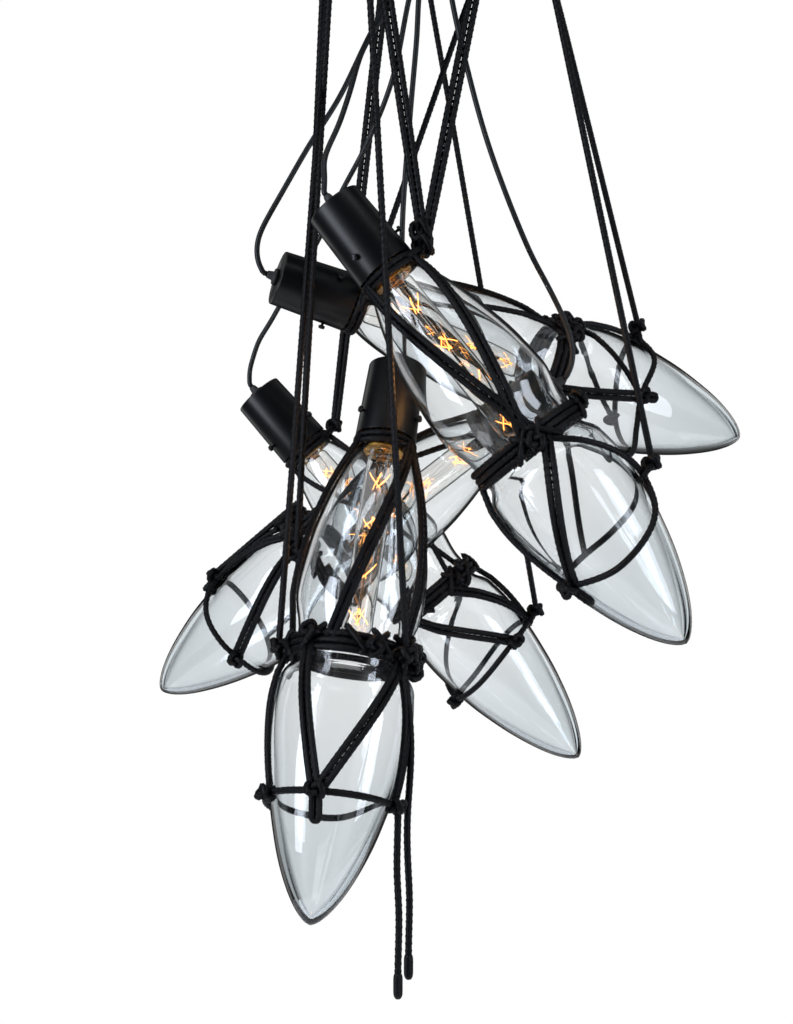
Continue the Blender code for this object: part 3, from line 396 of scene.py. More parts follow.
# The braid's furrows and the top of its mounds, as shares of the rope's radius
BRAID_DEPTH, BRAID_FULLNESS = 0.42, 1.10
TAUT_BEND_SHARE = 0.25
NET_LIFT = 0.0018
NECK_LEG_SHARE = 0.016
KNOT_RADIUS = 0.0085
HITCH_SPACING = 0.015
HITCH_POINTS = 72
STRAND_PITCH = 1.06 * ROPE_DIAMETER
CAP_LENGTH = 0.079
BODY_LENGTH = 0.463
NECK_RADIUS = 0.025
NECK_END_SHARE = 0.028
UPPER_BELLY_RADIUS, UPPER_BELLY_SHARE = 0.058, 0.36
WAIST_RADIUS, WAIST_SHARE = 0.051, 0.477
RIDGE_RADIUS, RIDGE_SHARE = 0.0600, 0.545
LOWER_BELLY_RADIUS, LOWER_BELLY_SHARE = 0.062, 0.60
BINDING_TURNS = 3
BINDING_PITCH = ROPE_DIAMETER + 0.0008
HALF_GROOVE_SHARE = ((BINDING_TURNS + 1) * BINDING_PITCH / 2 + SEAT_GAP) / BODY_LENGTH
# For each hanging rope: its vessel, its strands' canopy places as shares of the canopy's radius with how
# many ropes hang side by side there, and the place of its hitch
HANGERS = {
    "neck_rope_1": {"vessel": 1, "strands": ((-0.326, -0.503, 2), (0.354, -0.503, 2)), "ring_degrees": 0,
                    "hitch_mm": (3.2, 4.0), "hitches": 2},
    "girdle_rope_1": {"vessel": 1, "strands": ((0.543, -0.503, 1),), "net_place": (0.665, -4)},
    "neck_rope_2": {"vessel": 2, "strands": ((0.360, 0.354, 1),), "ring_degrees": -70},
    "girdle_rope_2": {"vessel": 2, "strands": ((0.703, 0.354, 1),), "net_place": (0.655, -16)},
    "neck_rope_3": {"vessel": 3, "strands": ((-0.257, 0.857, 2),), "ring_degrees": 0},
    "girdle_rope_3": {"vessel": 3, "strands": ((0.014, 0.857, 1),), "net_place": (0.668, -2)},
    "left_rope_4": {"vessel": 4, "strands": ((-0.546, -0.034, 1),), "net_place": (0.478, -67)},
    "right_rope_4": {"vessel": 4, "strands": ((-0.360, -0.870, 1),), "net_place": (0.4834, 68)},
    "front_rope_5": {"vessel": 5, "strands": ((-0.524, -0.306, 1),), "net_place": (0.4834, 78)},
    "rear_rope_5": {"vessel": 5, "strands": ((-0.606, 0.206, 1),), "net_place": (0.480, -12)},
}


def rope_share(size):
    """A rope's width as a share of the way down the glass body."""
    return (ROPE_DIAMETER + SEAT_GAP) / (size["length_share"] * BODY_LENGTH)


def glass_radius(share, size):
    """The vessel's outer radius at shares of the way from the cap's foot to the tip: a straight neck, a
    belly that swells as a power of a sine, a cosine ease down into the flat waist, a sine up to the
    shoulder and the lower belly, and then one less a power of the way, to a power, down to the tip."""
    girth = size["girth_share"]
    belly, waist = UPPER_BELLY_RADIUS * girth, WAIST_RADIUS * girth
    ridge, lower = RIDGE_RADIUS * girth, LOWER_BELLY_RADIUS * girth
    share = np.asarray(share, float)
    ways = [np.clip((share - low) / (high - low), 0, 1) for low, high in (
        (NECK_END_SHARE, UPPER_BELLY_SHARE), (UPPER_BELLY_SHARE, WAIST_SHARE - HALF_GROOVE_SHARE),
        (WAIST_SHARE + HALF_GROOVE_SHARE, RIDGE_SHARE), (RIDGE_SHARE, LOWER_BELLY_SHARE),
        (LOWER_BELLY_SHARE, 1.0))]
    return np.select(
        [share <= UPPER_BELLY_SHARE, share <= WAIST_SHARE + HALF_GROOVE_SHARE, share <= RIDGE_SHARE,
         share <= LOWER_BELLY_SHARE],
        [NECK_RADIUS + (belly - NECK_RADIUS) * np.sin(math.pi / 2 * ways[0]) ** 0.8,
         belly - (belly - waist) * (1 - np.cos(math.pi * ways[1])) / 2,
         waist + (ridge - waist) * np.sin(math.pi / 2 * ways[2]),
         ridge + (lower - ridge) * np.sin(math.pi / 2 * ways[3])],
        lower * np.clip(1 - ways[4] ** 1.7, 0, 1) ** 0.65)


def station(share, size):
    """The height, below the cap's top, of a share of the way down the glass body."""
    return -CAP_LENGTH - np.asarray(share) * size["length_share"] * BODY_LENGTH


def over_glass(share, degrees, size, lift):
    """Places over the glass in the world, and the directions straight out of it there. The outward
    direction in the vessel's own frame leans with the slope of the radius along the axis."""
    share, turn = np.asarray(share, float), np.radians(degrees)
    radius = glass_radius(share, size)
    step = 0.004
    slope = (glass_radius(share + step, size) - glass_radius(share - step, size)) / (2 * step * BODY_LENGTH)
    slope = np.clip(slope, -1.2, 1.2)
    out = unit(polar(1, turn, slope))
    return placed(polar(radius, turn, station(share, size)) + out * lift, size), turned(out, size)


def braided_surface(line, out=FACING, closed=False, diameter=ROPE_DIAMETER):
    """A round braid: the rope's radius is lifted by the product of two sines that wind opposite ways round
    it, which leaves one small mound for each carrier that lies on top."""
    along, pitch = lengths_along(line), BRAID_PITCH
    if closed:
        whole = along[-1] + np.linalg.norm(line[-1] - line[0])
        pitch = whole / max(round(whole / BRAID_PITCH), 1)
    turn = circle(ROPE_SIDES) * BRAID_CARRIERS / 2
    wind = math.pi * along[:, None] / pitch
    mound = np.abs(np.sin(turn + wind) * np.sin(turn - wind))
    radius = diameter / 2 * (BRAID_FULLNESS - BRAID_DEPTH * (1 - mound) ** 2)
    return tube_surface(line, out, radius, ROPE_SIDES, closed)


# Braided polyester, dyed black: hard-twisted yarns lie across each carrier and give small sparks of light
# along it. The yarns are about 0.4 mm, drawn at 0.8 mm so that they show.
black_rope, tree, shader = new_material("black_braided_polyester", "#050508", 0.42, Specular_IOR_Level=0.16)
marks = add_node(tree, "UVMap", uv_map="surface")
yarns = add_node(tree, "TexWave", {"Vector": marks.outputs[0], "Scale": 0.35, "Distortion": 1.5,
                                   "Detail": 2.0, "Detail Scale": 1.5}, bands_direction="DIAGONAL")
# The colour ramp follows the yarns' bump height, so the base colour is darker in the furrows between the
# yarns and lighter on their crests. This is painted shade laid over the rope's own black dye.
furrow_shade = add_node(tree, "ValToRGB", {"Fac": yarns.outputs["Fac"]})
furrow_shade.color_ramp.elements[0].color = (*linear("#020204"), 1)
furrow_shade.color_ramp.elements[1].color = (*linear("#090A0F"), 1)
relief = add_node(tree, "Bump", {"Height": yarns.outputs["Fac"], "Strength": 0.35, "Distance": 0.0004})
tree.links.new(furrow_shade.outputs[0], shader.inputs["Base Color"])
tree.links.new(relief.outputs[0], shader.inputs["Normal"])


def hitch_surface(centre, ahead, out, size_mm=2.6, length_mm=2.2):
    """A drawn-up hitch: a trefoil line, sin t + 2 sin 2t by cos t - 2 cos 2t by -2 sin 3t, swept as rope,
    in a frame whose third direction runs along the rope that it holds."""
    t = circle(HITCH_POINTS)
    side = unit(np.cross(ahead, out))
    out = unit(np.cross(side, ahead))
    local = np.stack([size_mm * (np.sin(t) + 2 * np.sin(2 * t)), size_mm * (np.cos(t) - 2 * np.cos(2 * t)),
                      -2 * length_mm * np.sin(3 * t)], -1)
    line = centre + local @ np.stack([side, out, unit(ahead)]) * MM
    return braided_surface(line, unit(line - centre), closed=True)


def hitch_seat(hanger, size):
    """The middle of a hanging rope's hitch, over the neck ring, the binding or the net, and its way out."""
    if "ring_degrees" in hanger:
        share, degrees = rope_share(size), hanger["ring_degrees"]
    else:
        share, degrees = hanger["net_place"]
    lift = NET_LIFT + ROPE_DIAMETER
    if abs(share - WAIST_SHARE) < HALF_GROOVE_SHARE:
        lift = SEAT_GAP + ROPE_DIAMETER
    radius = glass_radius(share, size) + lift + SEAT_GAP + KNOT_RADIUS
    turn = math.radians(degrees)
    return placed(polar(radius, turn, station(share, size)), size), turned(polar(1, turn, 0), size)


def hitch_legs(hanger, size, end):
    """Two short legs that run from the hitch and tuck in under the rope that it holds, one to each side."""
    if "ring_degrees" in hanger:
        share, degrees, spread, fall = NECK_LEG_SHARE, hanger["ring_degrees"], 42, 0.0
    else:
        (share, degrees), spread, fall = hanger["net_place"], 13, 0.012
    legs = []
    for sign in (-1, 1):
        foot, _ = over_glass(share + fall, degrees + sign * spread, size, ROPE_RADIUS)
        knee, _ = over_glass(share + fall / 2, degrees + sign * spread * 0.55, size, 2.2 * ROPE_RADIUS)
        legs.append(smooth_route([end, knee, foot], ROPE_STEP))
    return legs


for name, hanger in HANGERS.items():
    size = VESSELS[hanger["vessel"]]
    body = f"pendant_{hanger['vessel']}"
    end, outward = hitch_seat(hanger, size)
    hitch = None
    for index, (x_share, y_share, count) in enumerate(hanger["strands"]):
        start = np.array([x_share * CANOPY_RADIUS, y_share * CANOPY_RADIUS, -CANOPY_HEIGHT - SWING_GAP])
        drop = start - (0, 0, ROPE_DIAMETER)
        line = smooth_route([start, drop, drop + (end - drop) * TAUT_BEND_SHARE, end], ROPE_STEP, lead=True)
        sideways = unit(np.cross(end - start, (0, 1, 0)))
        way = np.linspace(0, 1, len(line))[:, None]
        if hitch is None:
            climb = unit(start - end) * HITCH_SPACING
            knot_parts = [hitch_surface(end + step * climb, -climb, outward, *hanger.get("hitch_mm", ()))
                          for step in range(hanger.get("hitches", 1))]
            for leg in hitch_legs(hanger, size, end):
                knot_parts.append(braided_surface(leg, outward))
            hitch = mesh_piece(f"{name}_hitch", join_meshes(knot_parts), black_rope)
            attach(hitch, body)
        for copy in range(count):
            # Ropes side by side draw a little closer where they reach the hitch
            shift = (copy - (count - 1) / 2) * STRAND_PITCH * (1 - 0.35 * way**6)
            strand_line = line + sideways * shift
            letter = "abcd"[2 * index + copy]
            strand = mesh_piece(f"{name}_{letter}", braided_surface(strand_line), black_rope)
            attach(strand, body)
            if index == 0 and copy == 0:
                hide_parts(name)


# Loose tails
# Two ends of the ropes that bind the fourth vessel hang straight down from their hitches, each crimped in a
# dull ferrule so that the braid does not open.
TAILS = {
    "waist_tail_4": {"hanger": "right_rope_4", "over": ((0.53, 71), (0.575, 78)), "drop": 0.245},
    "girdle_tail_4": {"net_place": (0.762, 95), "over": (), "drop": 0.165},
}
FERRULE_RADIUS = 0.0042
FERRULE_LENGTH = 0.020
WAVE_HEIGHT, WAVE_FADE = 0.0012, 0.060

size = VESSELS[4]
for name, tail in TAILS.items():
    reach = KNOT_RADIUS + SEAT_GAP
    if "hanger" in tail:
        start = hitch_seat(HANGERS[tail["hanger"]], size)[0] - turned(np.array([0, 0, reach]), size)
    else:
        start = over_glass(*tail["net_place"], size, reach)[0] - (0, 0, ROPE_RADIUS)
    bends = [start] + [over_glass(*place, size, NET_LIFT + ROPE_RADIUS)[0] for place in tail["over"]]
    foot = bends[-1] - (0, 0, tail["drop"])
    crimp = foot + (0, 0, FERRULE_LENGTH)
    line = smooth_route([*bends, (bends[-1] + crimp) / 2, crimp], ROPE_STEP)
    # A slight wave, which dies out at the crimp and at the hitch
    fall = (line[:, 2] - crimp[2]) / WAVE_FADE
    fade = np.minimum(fall, 1) * np.minimum(len(line) * ROPE_STEP / WAVE_FADE - fall, 1).clip(0, 1)
    line[:, 0] += WAVE_HEIGHT * np.sin(2.6 * fall) * fade
    ferrule_line = spaced(np.array([crimp + (0, 0, ROPE_RADIUS), foot]), ROPE_STEP)
    way = np.linspace(-1, 1, len(ferrule_line))[:, None]
    bulge = FERRULE_RADIUS * (1 - 0.45 * np.abs(way) ** 6)
    ferrule = mesh_piece(f"{name}_ferrule", tube_surface(ferrule_line, FACING, bulge, 20), black_rope)
    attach(ferrule, "pendant_4")
    strand = mesh_piece(f"{name}_rope", braided_surface(line), black_rope)
    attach(strand, "pendant_4")
    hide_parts(name)


# Waist bindings
# One unbroken rope wound tight round each vessel's waist, in the groove above the shoulder. Further turns
# are wrapped across it, and drawn up into lumps where the hanging ropes and the net are tied in.
BINDING_ROPE_DIAMETER = 0.0069
# Where each binding is wrapped across, in degrees round from the upper side, and where it has a lump:
# degrees round, and millimetres down towards the tip
WRAPS = {
    1: {"across": (-96, -88, -80, -72, -8, 0), "lumps": ((-84, 4), (-2, -4))},
    2: {"across": (-62, -54, -46, -38, -30, 20), "lumps": ((-56, 6), (-48, -6), (-42, 8), (-36, -4))},
    3: {"across": (-62, -54, -46, -112, 8), "lumps": ((-52, 6), (-44, -4))},
    4: {"across": (-66, -58, -16, 26, 42, 50, 64, 72, 80, 88),
        "lumps": ((-64, 6), (-16, -4), (40, 5), (70, 2), (77, -6), (84, 6), (90, -3), (88, 12))},
    5: {"across": (-4, 4, 12, 20, 42, 50, 58, 66, 74, 82),
        "lumps": ((-6, 4), (2, 12), (6, -3), (10, 16), (18, 8), (46, 5), (74, -5))},
}
# A wrap's lean in degrees, and a lump's width and length in millimetres with its own lean
WRAP_POINTS, WRAP_SLANT = 26, 11
LUMP_MM, LUMP_TILT = (2.5, 2.6), 0.6


def wrap_line(degrees, size, slant):
    """A turn across the binding: up over its outer side from edge to edge, leaning round the waist."""
    way = np.linspace(math.radians(8), math.radians(172), WRAP_POINTS)
    turn = np.radians(degrees + slant * np.cos(way))
    radius = WAIST_RADIUS * size["girth_share"] + ROPE_RADIUS + (ROPE_DIAMETER - 0.0010) * np.sin(way) ** 0.5
    height = float(station(WAIST_SHARE, size)) + 1.7 * BINDING_PITCH * np.cos(way)
    return placed(polar(radius, turn, height), size), turned(polar(1, turn, 0.6 * np.cos(way)), size)


for number, size in VESSELS.items():
    waist = WAIST_RADIUS * size["girth_share"]
    radius = waist + SEAT_GAP + ROPE_RADIUS
    way = np.linspace(0, 1, round(2 * math.pi * radius * BINDING_TURNS / ROPE_STEP))
    turn = math.radians(size["binding_start"]) + 2 * math.pi * BINDING_TURNS * way
    height = float(station(WAIST_SHARE, size)) + BINDING_PITCH * BINDING_TURNS * (0.5 - way)
    line, out = placed(polar(radius, turn, height), size), turned(polar(1, turn, 0), size)
    turns = [braided_surface(line, out, diameter=BINDING_ROPE_DIAMETER)]
    for index, degrees in enumerate(WRAPS[number]["across"]):
        turns.append(braided_surface(*wrap_line(degrees, size, WRAP_SLANT * (-1) ** index)))
    for degrees, down_mm in WRAPS[number]["lumps"]:
        turn, height = math.radians(degrees), station(WAIST_SHARE + down_mm * MM / BODY_LENGTH, size)
        middle = placed(polar(waist + 1.7 * ROPE_DIAMETER, turn, height), size)
        ahead = turned(polar(1, turn + math.pi / 2, LUMP_TILT), size)
        turns.append(hitch_surface(middle, ahead, turned(polar(1, turn, 0), size), *LUMP_MM))
    binding = mesh_piece(f"binding_{number}", join_meshes(turns), black_rope)
    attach(binding, f"pendant_{number}")
    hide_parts(f"waist_binding_{number}")


# Rope nets
# Each vessel hangs in a net tied from the same rope: a ring of two turns round the neck, ropes over the
# upper belly to the binding, and ropes from there to a girdle round the lower belly, hitched where they meet.
NETS = {
    1: {
        "girdle": ((0.665, -4), (0.742, -31), (0.782, -94), (0.758, -145), (0.748, 180), (0.737, 117),
                   (0.734, 78), (0.715, 37)),
        "spine": ((0.011, -14), (0.09, -24), (0.179, -41), (0.305, -70), (0.42, -84)),
        "spine_low": ((0.53, -76), (0.56, -80), (0.629, -101), (0.758, -142)),
        "upper": (((0.011, -150), (0.114, -135), (0.246, -105), (0.36, -90), (0.42, -84)),),
        "lower": (((0.53, -62), (0.60, -36), (0.668, -6)),
                  ((0.53, -172), (0.62, -165), (0.756, -150)),
                  ((0.53, 60), (0.62, 84), (0.736, 112))),
        "knots": ((0.756, -146),),
        "ropes": (2, 2, 2, 1, 1, 1),
        "stubs": (((0.757, -146), 0.045),),
    },
    2: {
        "girdle": ((0.655, -16), (0.69, -48), (0.670, -95), (0.69, -125), (0.725, -160), (0.745, 150),
                   (0.725, 90), (0.685, 30)),
        "spine": ((0.011, -95), (0.10, -78), (0.22, -60), (0.34, -48), (0.42, -45)),
        "spine_low": ((0.53, -45), (0.58, -66), (0.64, -84), (0.668, -95)),
        "upper": (((0.011, 20), (0.16, 0), (0.30, -28), (0.42, -45)),),
        "lower": (((0.53, -113), (0.60, -106), (0.668, -96)),
                  ((0.53, 20), (0.60, 70), (0.725, 104)),
                  ((0.53, -25), (0.60, -20), (0.655, -16))),
        "knots": ((0.668, -95), (0.725, 104)),
        "ropes": (1, 1, 1, 2, 1, 1),
        "stubs": (((0.670, -95), 0.03),),
    },
    3: {
        "girdle": ((0.670, -2), (0.680, -60), (0.70, -120), (0.70, -174), (0.70, 125), (0.675, 60)),
        "spine": ((0.011, -6), (0.14, -12), (0.30, -30), (0.42, -50)),
        "spine_low": ((0.53, -60), (0.58, -44), (0.668, -8)),
        "upper": (((0.011, -160), (0.16, -140), (0.30, -85), (0.42, -50)),),
        "lower": (((0.53, 8), (0.59, 3), (0.668, -1)),
                  ((0.53, -118), (0.60, -92), (0.680, -56)),
                  ((0.53, 178), (0.62, -178), (0.70, -174))),
        "knots": ((0.70, -174), (0.680, -57)),
        "ropes": (1, 1, 2, 1, 2, 1),
        "stubs": (),
    },
    4: {
        "girdle": ((0.775, -42), (0.771, 10), (0.766, 56), (0.762, 100), (0.755, 146), (0.78, -169),
                   (0.785, -131), (0.785, -85)),
        "spine": ((0.011, 84), (0.12, 78), (0.24, 44), (0.36, 20), (0.42, 10)),
        "spine_low": ((0.53, -15), (0.64, -3), (0.766, 9)),
        "upper": (((0.011, -34), (0.10, -20), (0.21, -11), (0.33, -26), (0.42, -58)),
                  ((0.011, 84), (0.14, 98), (0.28, 108), (0.42, 84))),
        "lower": (((0.53, 64), (0.64, 40), (0.768, 13)),
                  ((0.53, -58), (0.62, -52), (0.772, -43)),
                  ((0.53, 72), (0.64, 87), (0.762, 99))),
        "knots": ((0.775, -43), (0.769, 11), (0.762, 95)),
        "ropes": (2, 1, 2, 2, 2, 1, 2),
        "stubs": (((0.772, 11), 0.047),),
    },
    5: {
        "girdle": ((0.71, 17), (0.748, 60), (0.752, 100), (0.748, 124), (0.752, 180), (0.752, -110),
                   (0.735, -40)),
        "spine": ((0.011, 90), (0.15, 80), (0.30, 60), (0.42, 42)),
        "spine_low": ((0.53, 40), (0.60, 32), (0.706, 19)),
        "upper": (((0.011, 0), (0.15, 5), (0.30, 22), (0.42, 42)),),
        "lower": (((0.53, 8), (0.706, 17)),
                  ((0.53, 76), (0.62, 100), (0.745, 122)),
                  ((0.53, -90), (0.62, -98), (0.75, -108))),
        "knots": ((0.71, 17), (0.748, 123)),
        "ropes": (1, 1, 2, 1, 2, 1),
        "stubs": (((0.712, 17), 0.03),),
        "bridges": (((0.455, 6, 0.020), (0.708, 17, 0.009)),),
    },
}


# The ropes' gap to the glass, the spacing of ropes side by side, and how deep a knot sits in the net
NET_GAP = 0.0004
NET_STRAND_PITCH = 1.04 * ROPE_DIAMETER
NECK_RING_POINTS = 140
BIGHT_LIFT, BIGHT_POINTS = 0.002, 7
KNOT_SINK = 0.001
TAUT_POINTS = 26
TAUT_ROUNDS = 700


def laid_line(places, size, lift):
    """A rope's centre line once round the glass, eased between its places as if the glass were unrolled."""
    turns = np.unwrap([degrees for _, degrees in places], period=360)
    turns = [*turns, turns[0] + math.copysign(360, turns[-1] - turns[0])]
    shares = [share for share, _ in places] + [places[0][0]]
    length, around = BODY_LENGTH, math.radians(LOWER_BELLY_RADIUS)
    unrolled = [(share * length, turn * around, 0) for share, turn in zip(shares, turns)]
    flat = smooth_route(unrolled, ROPE_STEP)[:-1]
    return over_glass(flat[:, 0] / length, flat[:, 1] / around, size, lift)


def taut_line(route, size, lift, beside=0.0):
    """A rope's centre line drawn tight over the glass from its route's first place to its last: each point
    moves to the mean of itself and its neighbours, and back out where that would sink it into the glass,
    until the rope lies the shortest way. It is moved sideways where it lies beside another rope."""
    shares, turns = zip(*route)
    way, known = np.linspace(0, 1, TAUT_POINTS), np.linspace(0, 1, len(route))
    share = np.interp(way, known, shares)
    turn = np.interp(way, known, np.radians(np.unwrap(turns, period=360)))
    line = polar(glass_radius(share, size) + lift, turn, station(share, size))
    for _ in range(TAUT_ROUNDS):
        line[1:-1] = (line[:-2] + line[1:-1] + line[2:]) / 3
        share = (-line[:, 2] - CAP_LENGTH) / (size["length_share"] * BODY_LENGTH)
        least = glass_radius(share, size) + lift
        line[:, :2] *= np.maximum(least / np.hypot(line[:, 0], line[:, 1]), 1)[:, None]
    line = smooth_route(line, ROPE_STEP)
    out = turned(unit(line * (1, 1, 0)), size)
    line = placed(line, size)
    return line + np.cross(unit(np.gradient(line, axis=0)), out) * beside, out


def run_under(route, share):
    """The route with one more place before its first, at the given share, straight on from its first two."""
    (first, turn), (second, turn_after) = route[:2]
    return ((share, turn + (turn_after - turn) * (share - first) / (second - first)),) + tuple(route)


for number, size in VESSELS.items():
    routes = NETS[number]
    lift = ROPE_RADIUS + NET_GAP
    parts = []
    for widths_down in (0.75, 1.75):
        degrees = np.degrees(circle(NECK_RING_POINTS))
        ring = over_glass(np.full(NECK_RING_POINTS, rope_share(size) * widths_down), degrees, size, lift)
        parts.append(braided_surface(*ring, closed=True))
    parts.append(braided_surface(*laid_line(routes["girdle"], size, lift), closed=True))
    upper = [run_under(route[::-1], WAIST_SHARE) for route in (routes["spine"],) + routes["upper"]]
    lower = [run_under(route, WAIST_SHARE) for route in (routes["spine_low"],) + routes["lower"]]
    for route, count in zip(upper + lower, routes["ropes"]):
        for beside in (np.arange(count) - (count - 1) / 2) * NET_STRAND_PITCH:
            parts.append(braided_surface(*taut_line(route, size, lift, beside)))
    for start, end in routes.get("bridges", ()):
        ends = np.array([over_glass(share, degrees, size, away)[0] for share, degrees, away in (start, end)])
        parts.append(braided_surface(spaced(ends, ROPE_STEP)))
    for place, fall in routes["stubs"]:
        # A bight: down, round its end, and up again beside itself
        middle, out = taut_line((place, (place[0] + fall, place[1] + 2)), size, lift + BIGHT_LIFT)
        ahead = unit(np.gradient(middle, axis=0))
        side = np.cross(ahead, out) * ROPE_RADIUS
        bend = np.linspace(0, math.pi, BIGHT_POINTS + 2)[1:-1, None]
        end = middle[-1] - np.cos(bend) * side[-1] + np.sin(bend) * ahead[-1] * ROPE_RADIUS
        line = np.vstack([middle - side, end, (middle + side)[::-1]])
        parts.append(braided_surface(line, np.vstack([out, [out[-1]] * BIGHT_POINTS, out[::-1]])))
    for place in routes["knots"]:
        centre, out = over_glass(*place, size, KNOT_RADIUS - KNOT_SINK)
        parts.append(hitch_surface(centre, turned(np.array((0, 0, -1.0)), size), out))
    net = mesh_piece(f"net_{number}", join_meshes(parts), black_rope)
    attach(net, f"pendant_{number}")
    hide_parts(f"rope_net_{number}")


# Glass vessels
# Mouth-blown clear glass, 3 mm thick and more than twice that towards its solid tip: a neck with a rolled
# lip inside the cap, an upper belly, a waist for the rope, a round shoulder and a belly drawn to a point.
GLASS_WALL = 0.003
TIP_WALL = 0.0075
NECK_GRIP = 0.020
CAP_TOP_RADIUS, CAP_FOOT_RADIUS, CAP_WALL = 0.0277, 0.0300, 0.0015
CAP_TAPER = (CAP_FOOT_RADIUS - CAP_TOP_RADIUS) / CAP_LENGTH
LIP_RADIUS = 0.0025
VESSEL_SIDES = 168
VESSEL_WOBBLE = 0.0035


def turned_piece(name, outline, sides, material, size, wobble=0.0):
    """A turned piece: its outline of (radius, height) is carried once round the vessel's axis. A hand-blown
    wobble moves the radius by two slow waves round and one along, each a share of the radius."""
    outline = np.array(outline, float)
    turn, radius, height = circle(sides), outline[:, :1], outline[:, 1:]
    along = height / BODY_LENGTH * 2 * math.pi
    waves = np.sin(2 * turn + 3 * along) + 0.6 * np.sin(3 * turn - 5 * along) + 0.5 * np.sin(9 * along + turn)
    spots = placed(polar(radius * (1 + wobble * waves), turn, height), size)
    faces = grid_faces(len(outline), sides, end_on_end=outline[0, 0] != 0 or outline[-1, 0] != 0)
    marks = np.stack(np.broadcast_arrays(turn * radius.max(), height), -1) / MM
    piece = mesh_piece(name, (spots, faces, marks), material)
    shape = bmesh.new()
    shape.from_mesh(piece.data)
    bmesh.ops.remove_doubles(shape, verts=shape.verts, dist=1e-6)
    bmesh.ops.dissolve_degenerate(shape, edges=shape.edges, dist=1e-7)
    bmesh.ops.recalc_face_normals(shape, faces=shape.faces)
    shape.to_mesh(piece.data)
    shape.free()
    return piece


def lamp_lit_glass(name, colour, ior, shadow_tint):
    """Clear glass that lets the light of lamps through to what is behind it, as real glass does."""
    made, tree, shader = new_material(name, colour, 0.0, Transmission_Weight=1.0, IOR=ior)
    shadow = add_node(tree, "LightPath").outputs["Is Shadow Ray"]
    clear = add_node(tree, "BsdfTransparent", {"Color": (*linear(shadow_tint), 1)})
    both = add_node(tree, "MixShader", {0: shadow, 1: shader.outputs[0], 2: clear.outputs[0]})
    tree.links.new(both.outputs[0], tree.nodes["Material Output"].inputs["Surface"])
    return made, tree


# Soda-lime glass, blown and fire-polished: faintly blue-grey where it is thick, with slow waves in it.
vessel_glass, tree = lamp_lit_glass("blown_soda_lime_glass", "#FFFFFF", 1.5, "#F4F7F8")
depth_tint = add_node(tree, "VolumeAbsorption", {"Color": (0.70, 0.765, 0.795, 1), "Density": 80.0})
tree.links.new(depth_tint.outputs[0], tree.nodes["Material Output"].inputs["Volume"])

for number, size in VESSELS.items():
    neck_top = -CAP_LENGTH + NECK_GRIP
    lip_radius = CAP_TOP_RADIUS - CAP_WALL - CAP_TAPER * neck_top - SEAT_GAP - LIP_RADIUS
    tip_bend = np.linspace(0, math.pi / 2, 40)[1:]
    shares = np.concatenate([np.linspace(0.0, 0.9, 126), 1 - 0.1 * np.cos(tip_bend)])
    outer = np.column_stack([glass_radius(shares, size), station(shares, size)])
    outer[-1, 0] = 0
    bend = np.linspace(-math.pi / 2, math.pi / 2, 12)
    lip = (lip_radius, neck_top - LIP_RADIUS) + LIP_RADIUS * np.column_stack([np.cos(bend), -np.sin(bend)])
    # The inner wall lies straight in from the outer one by the glass's thickness, until it meets the axis
    taper = np.clip((shares - 0.50) / 0.44, 0, 1)
    wall = GLASS_WALL + (TIP_WALL - GLASS_WALL) * taper**2 * (3 - 2 * taper)
    ahead = unit(np.gradient(outer, shares, axis=0))
    inner = outer + np.stack([ahead[:, 1], -ahead[:, 0]], -1) * wall[:, None]
    inner = inner[: np.argmax((inner[:, 0] < 0.0004) & (shares > 0.9))]
    inner = np.vstack([inner, [[0, inner[-1, 1] - 0.0003]]])[::-1]
    lip = [(NECK_RADIUS - GLASS_WALL, neck_top), *lip, (NECK_RADIUS, neck_top - 0.006)]
    outline = np.vstack([inner, lip, outer])
    vessel = turned_piece(f"vessel_{number}", outline, VESSEL_SIDES, vessel_glass, size, wobble=VESSEL_WOBBLE)
    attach(vessel, f"pendant_{number}")
    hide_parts(f"glass_vessel_{number}")


# Caps
# Spun and turned aluminium cups in satin black powder coat, which cover each lampholder and grip the glass
# neck with three small thumbscrews near the foot.
CAP_EDGE = 0.0018
SCREW_HEIGHT = -0.058
SCREW_SIDES, KNURLS = 24, 12
# A thumbscrew's outline, along it and out from its axis: a shank and a head
SCREW_OUTLINE = ((0, 0.0014), (0.0030, 0.0014), (0.0031, 0.0026), (0.0034, 0.0032), (0.0058, 0.0032),
                 (0.0062, 0.0027), (0.0063, 0))
CAP_HOLE_RADIUS = 0.0053
satin_black, tree, shader = new_material("satin_black_powder_coat", "#040609", 0.32, Specular_IOR_Level=0.26)
fine = add_grain(tree, shader, 1400.0, 2.0, 0.28, 0.38)
coat_skin = add_node(tree, "Bump", {"Height": fine.outputs["Fac"], "Strength": 0.06, "Distance": 0.0003})
tree.links.new(coat_skin.outputs[0], shader.inputs["Normal"])

dark_steel, tree, shader = new_material("blackened_steel_screw", "#2A2C2F", 0.32, Metallic=0.9)
add_grain(tree, shader, 900.0, 3.0, 0.22, 0.45)


def rounded(corner, before, after, radius, steps=6):
    """A corner of an outline rounded off: points along a curve from the edge before to the edge after, by
    the squares of the way left and the way gone, and twice their product at the corner itself."""
    corner, before, after = (np.array(place, float) for place in (corner, before, after))
    start = corner + unit(before - corner) * radius
    end = corner + unit(after - corner) * radius
    t = np.linspace(0, 1, steps)[:, None]
    return (1 - t) ** 2 * start + 2 * t * (1 - t) * corner + t**2 * end


def rounded_outline(corners, radii):
    """An outline with each corner rounded by its radius, or left sharp where that is nothing."""
    made = []
    for index, (corner, radius) in enumerate(zip(corners, radii)):
        if radius:
            made.append(rounded(corner, corners[index - 1], corners[(index + 1) % len(corners)], radius))
        else:
            made.append(np.array([corner], float))
    return np.vstack(made)


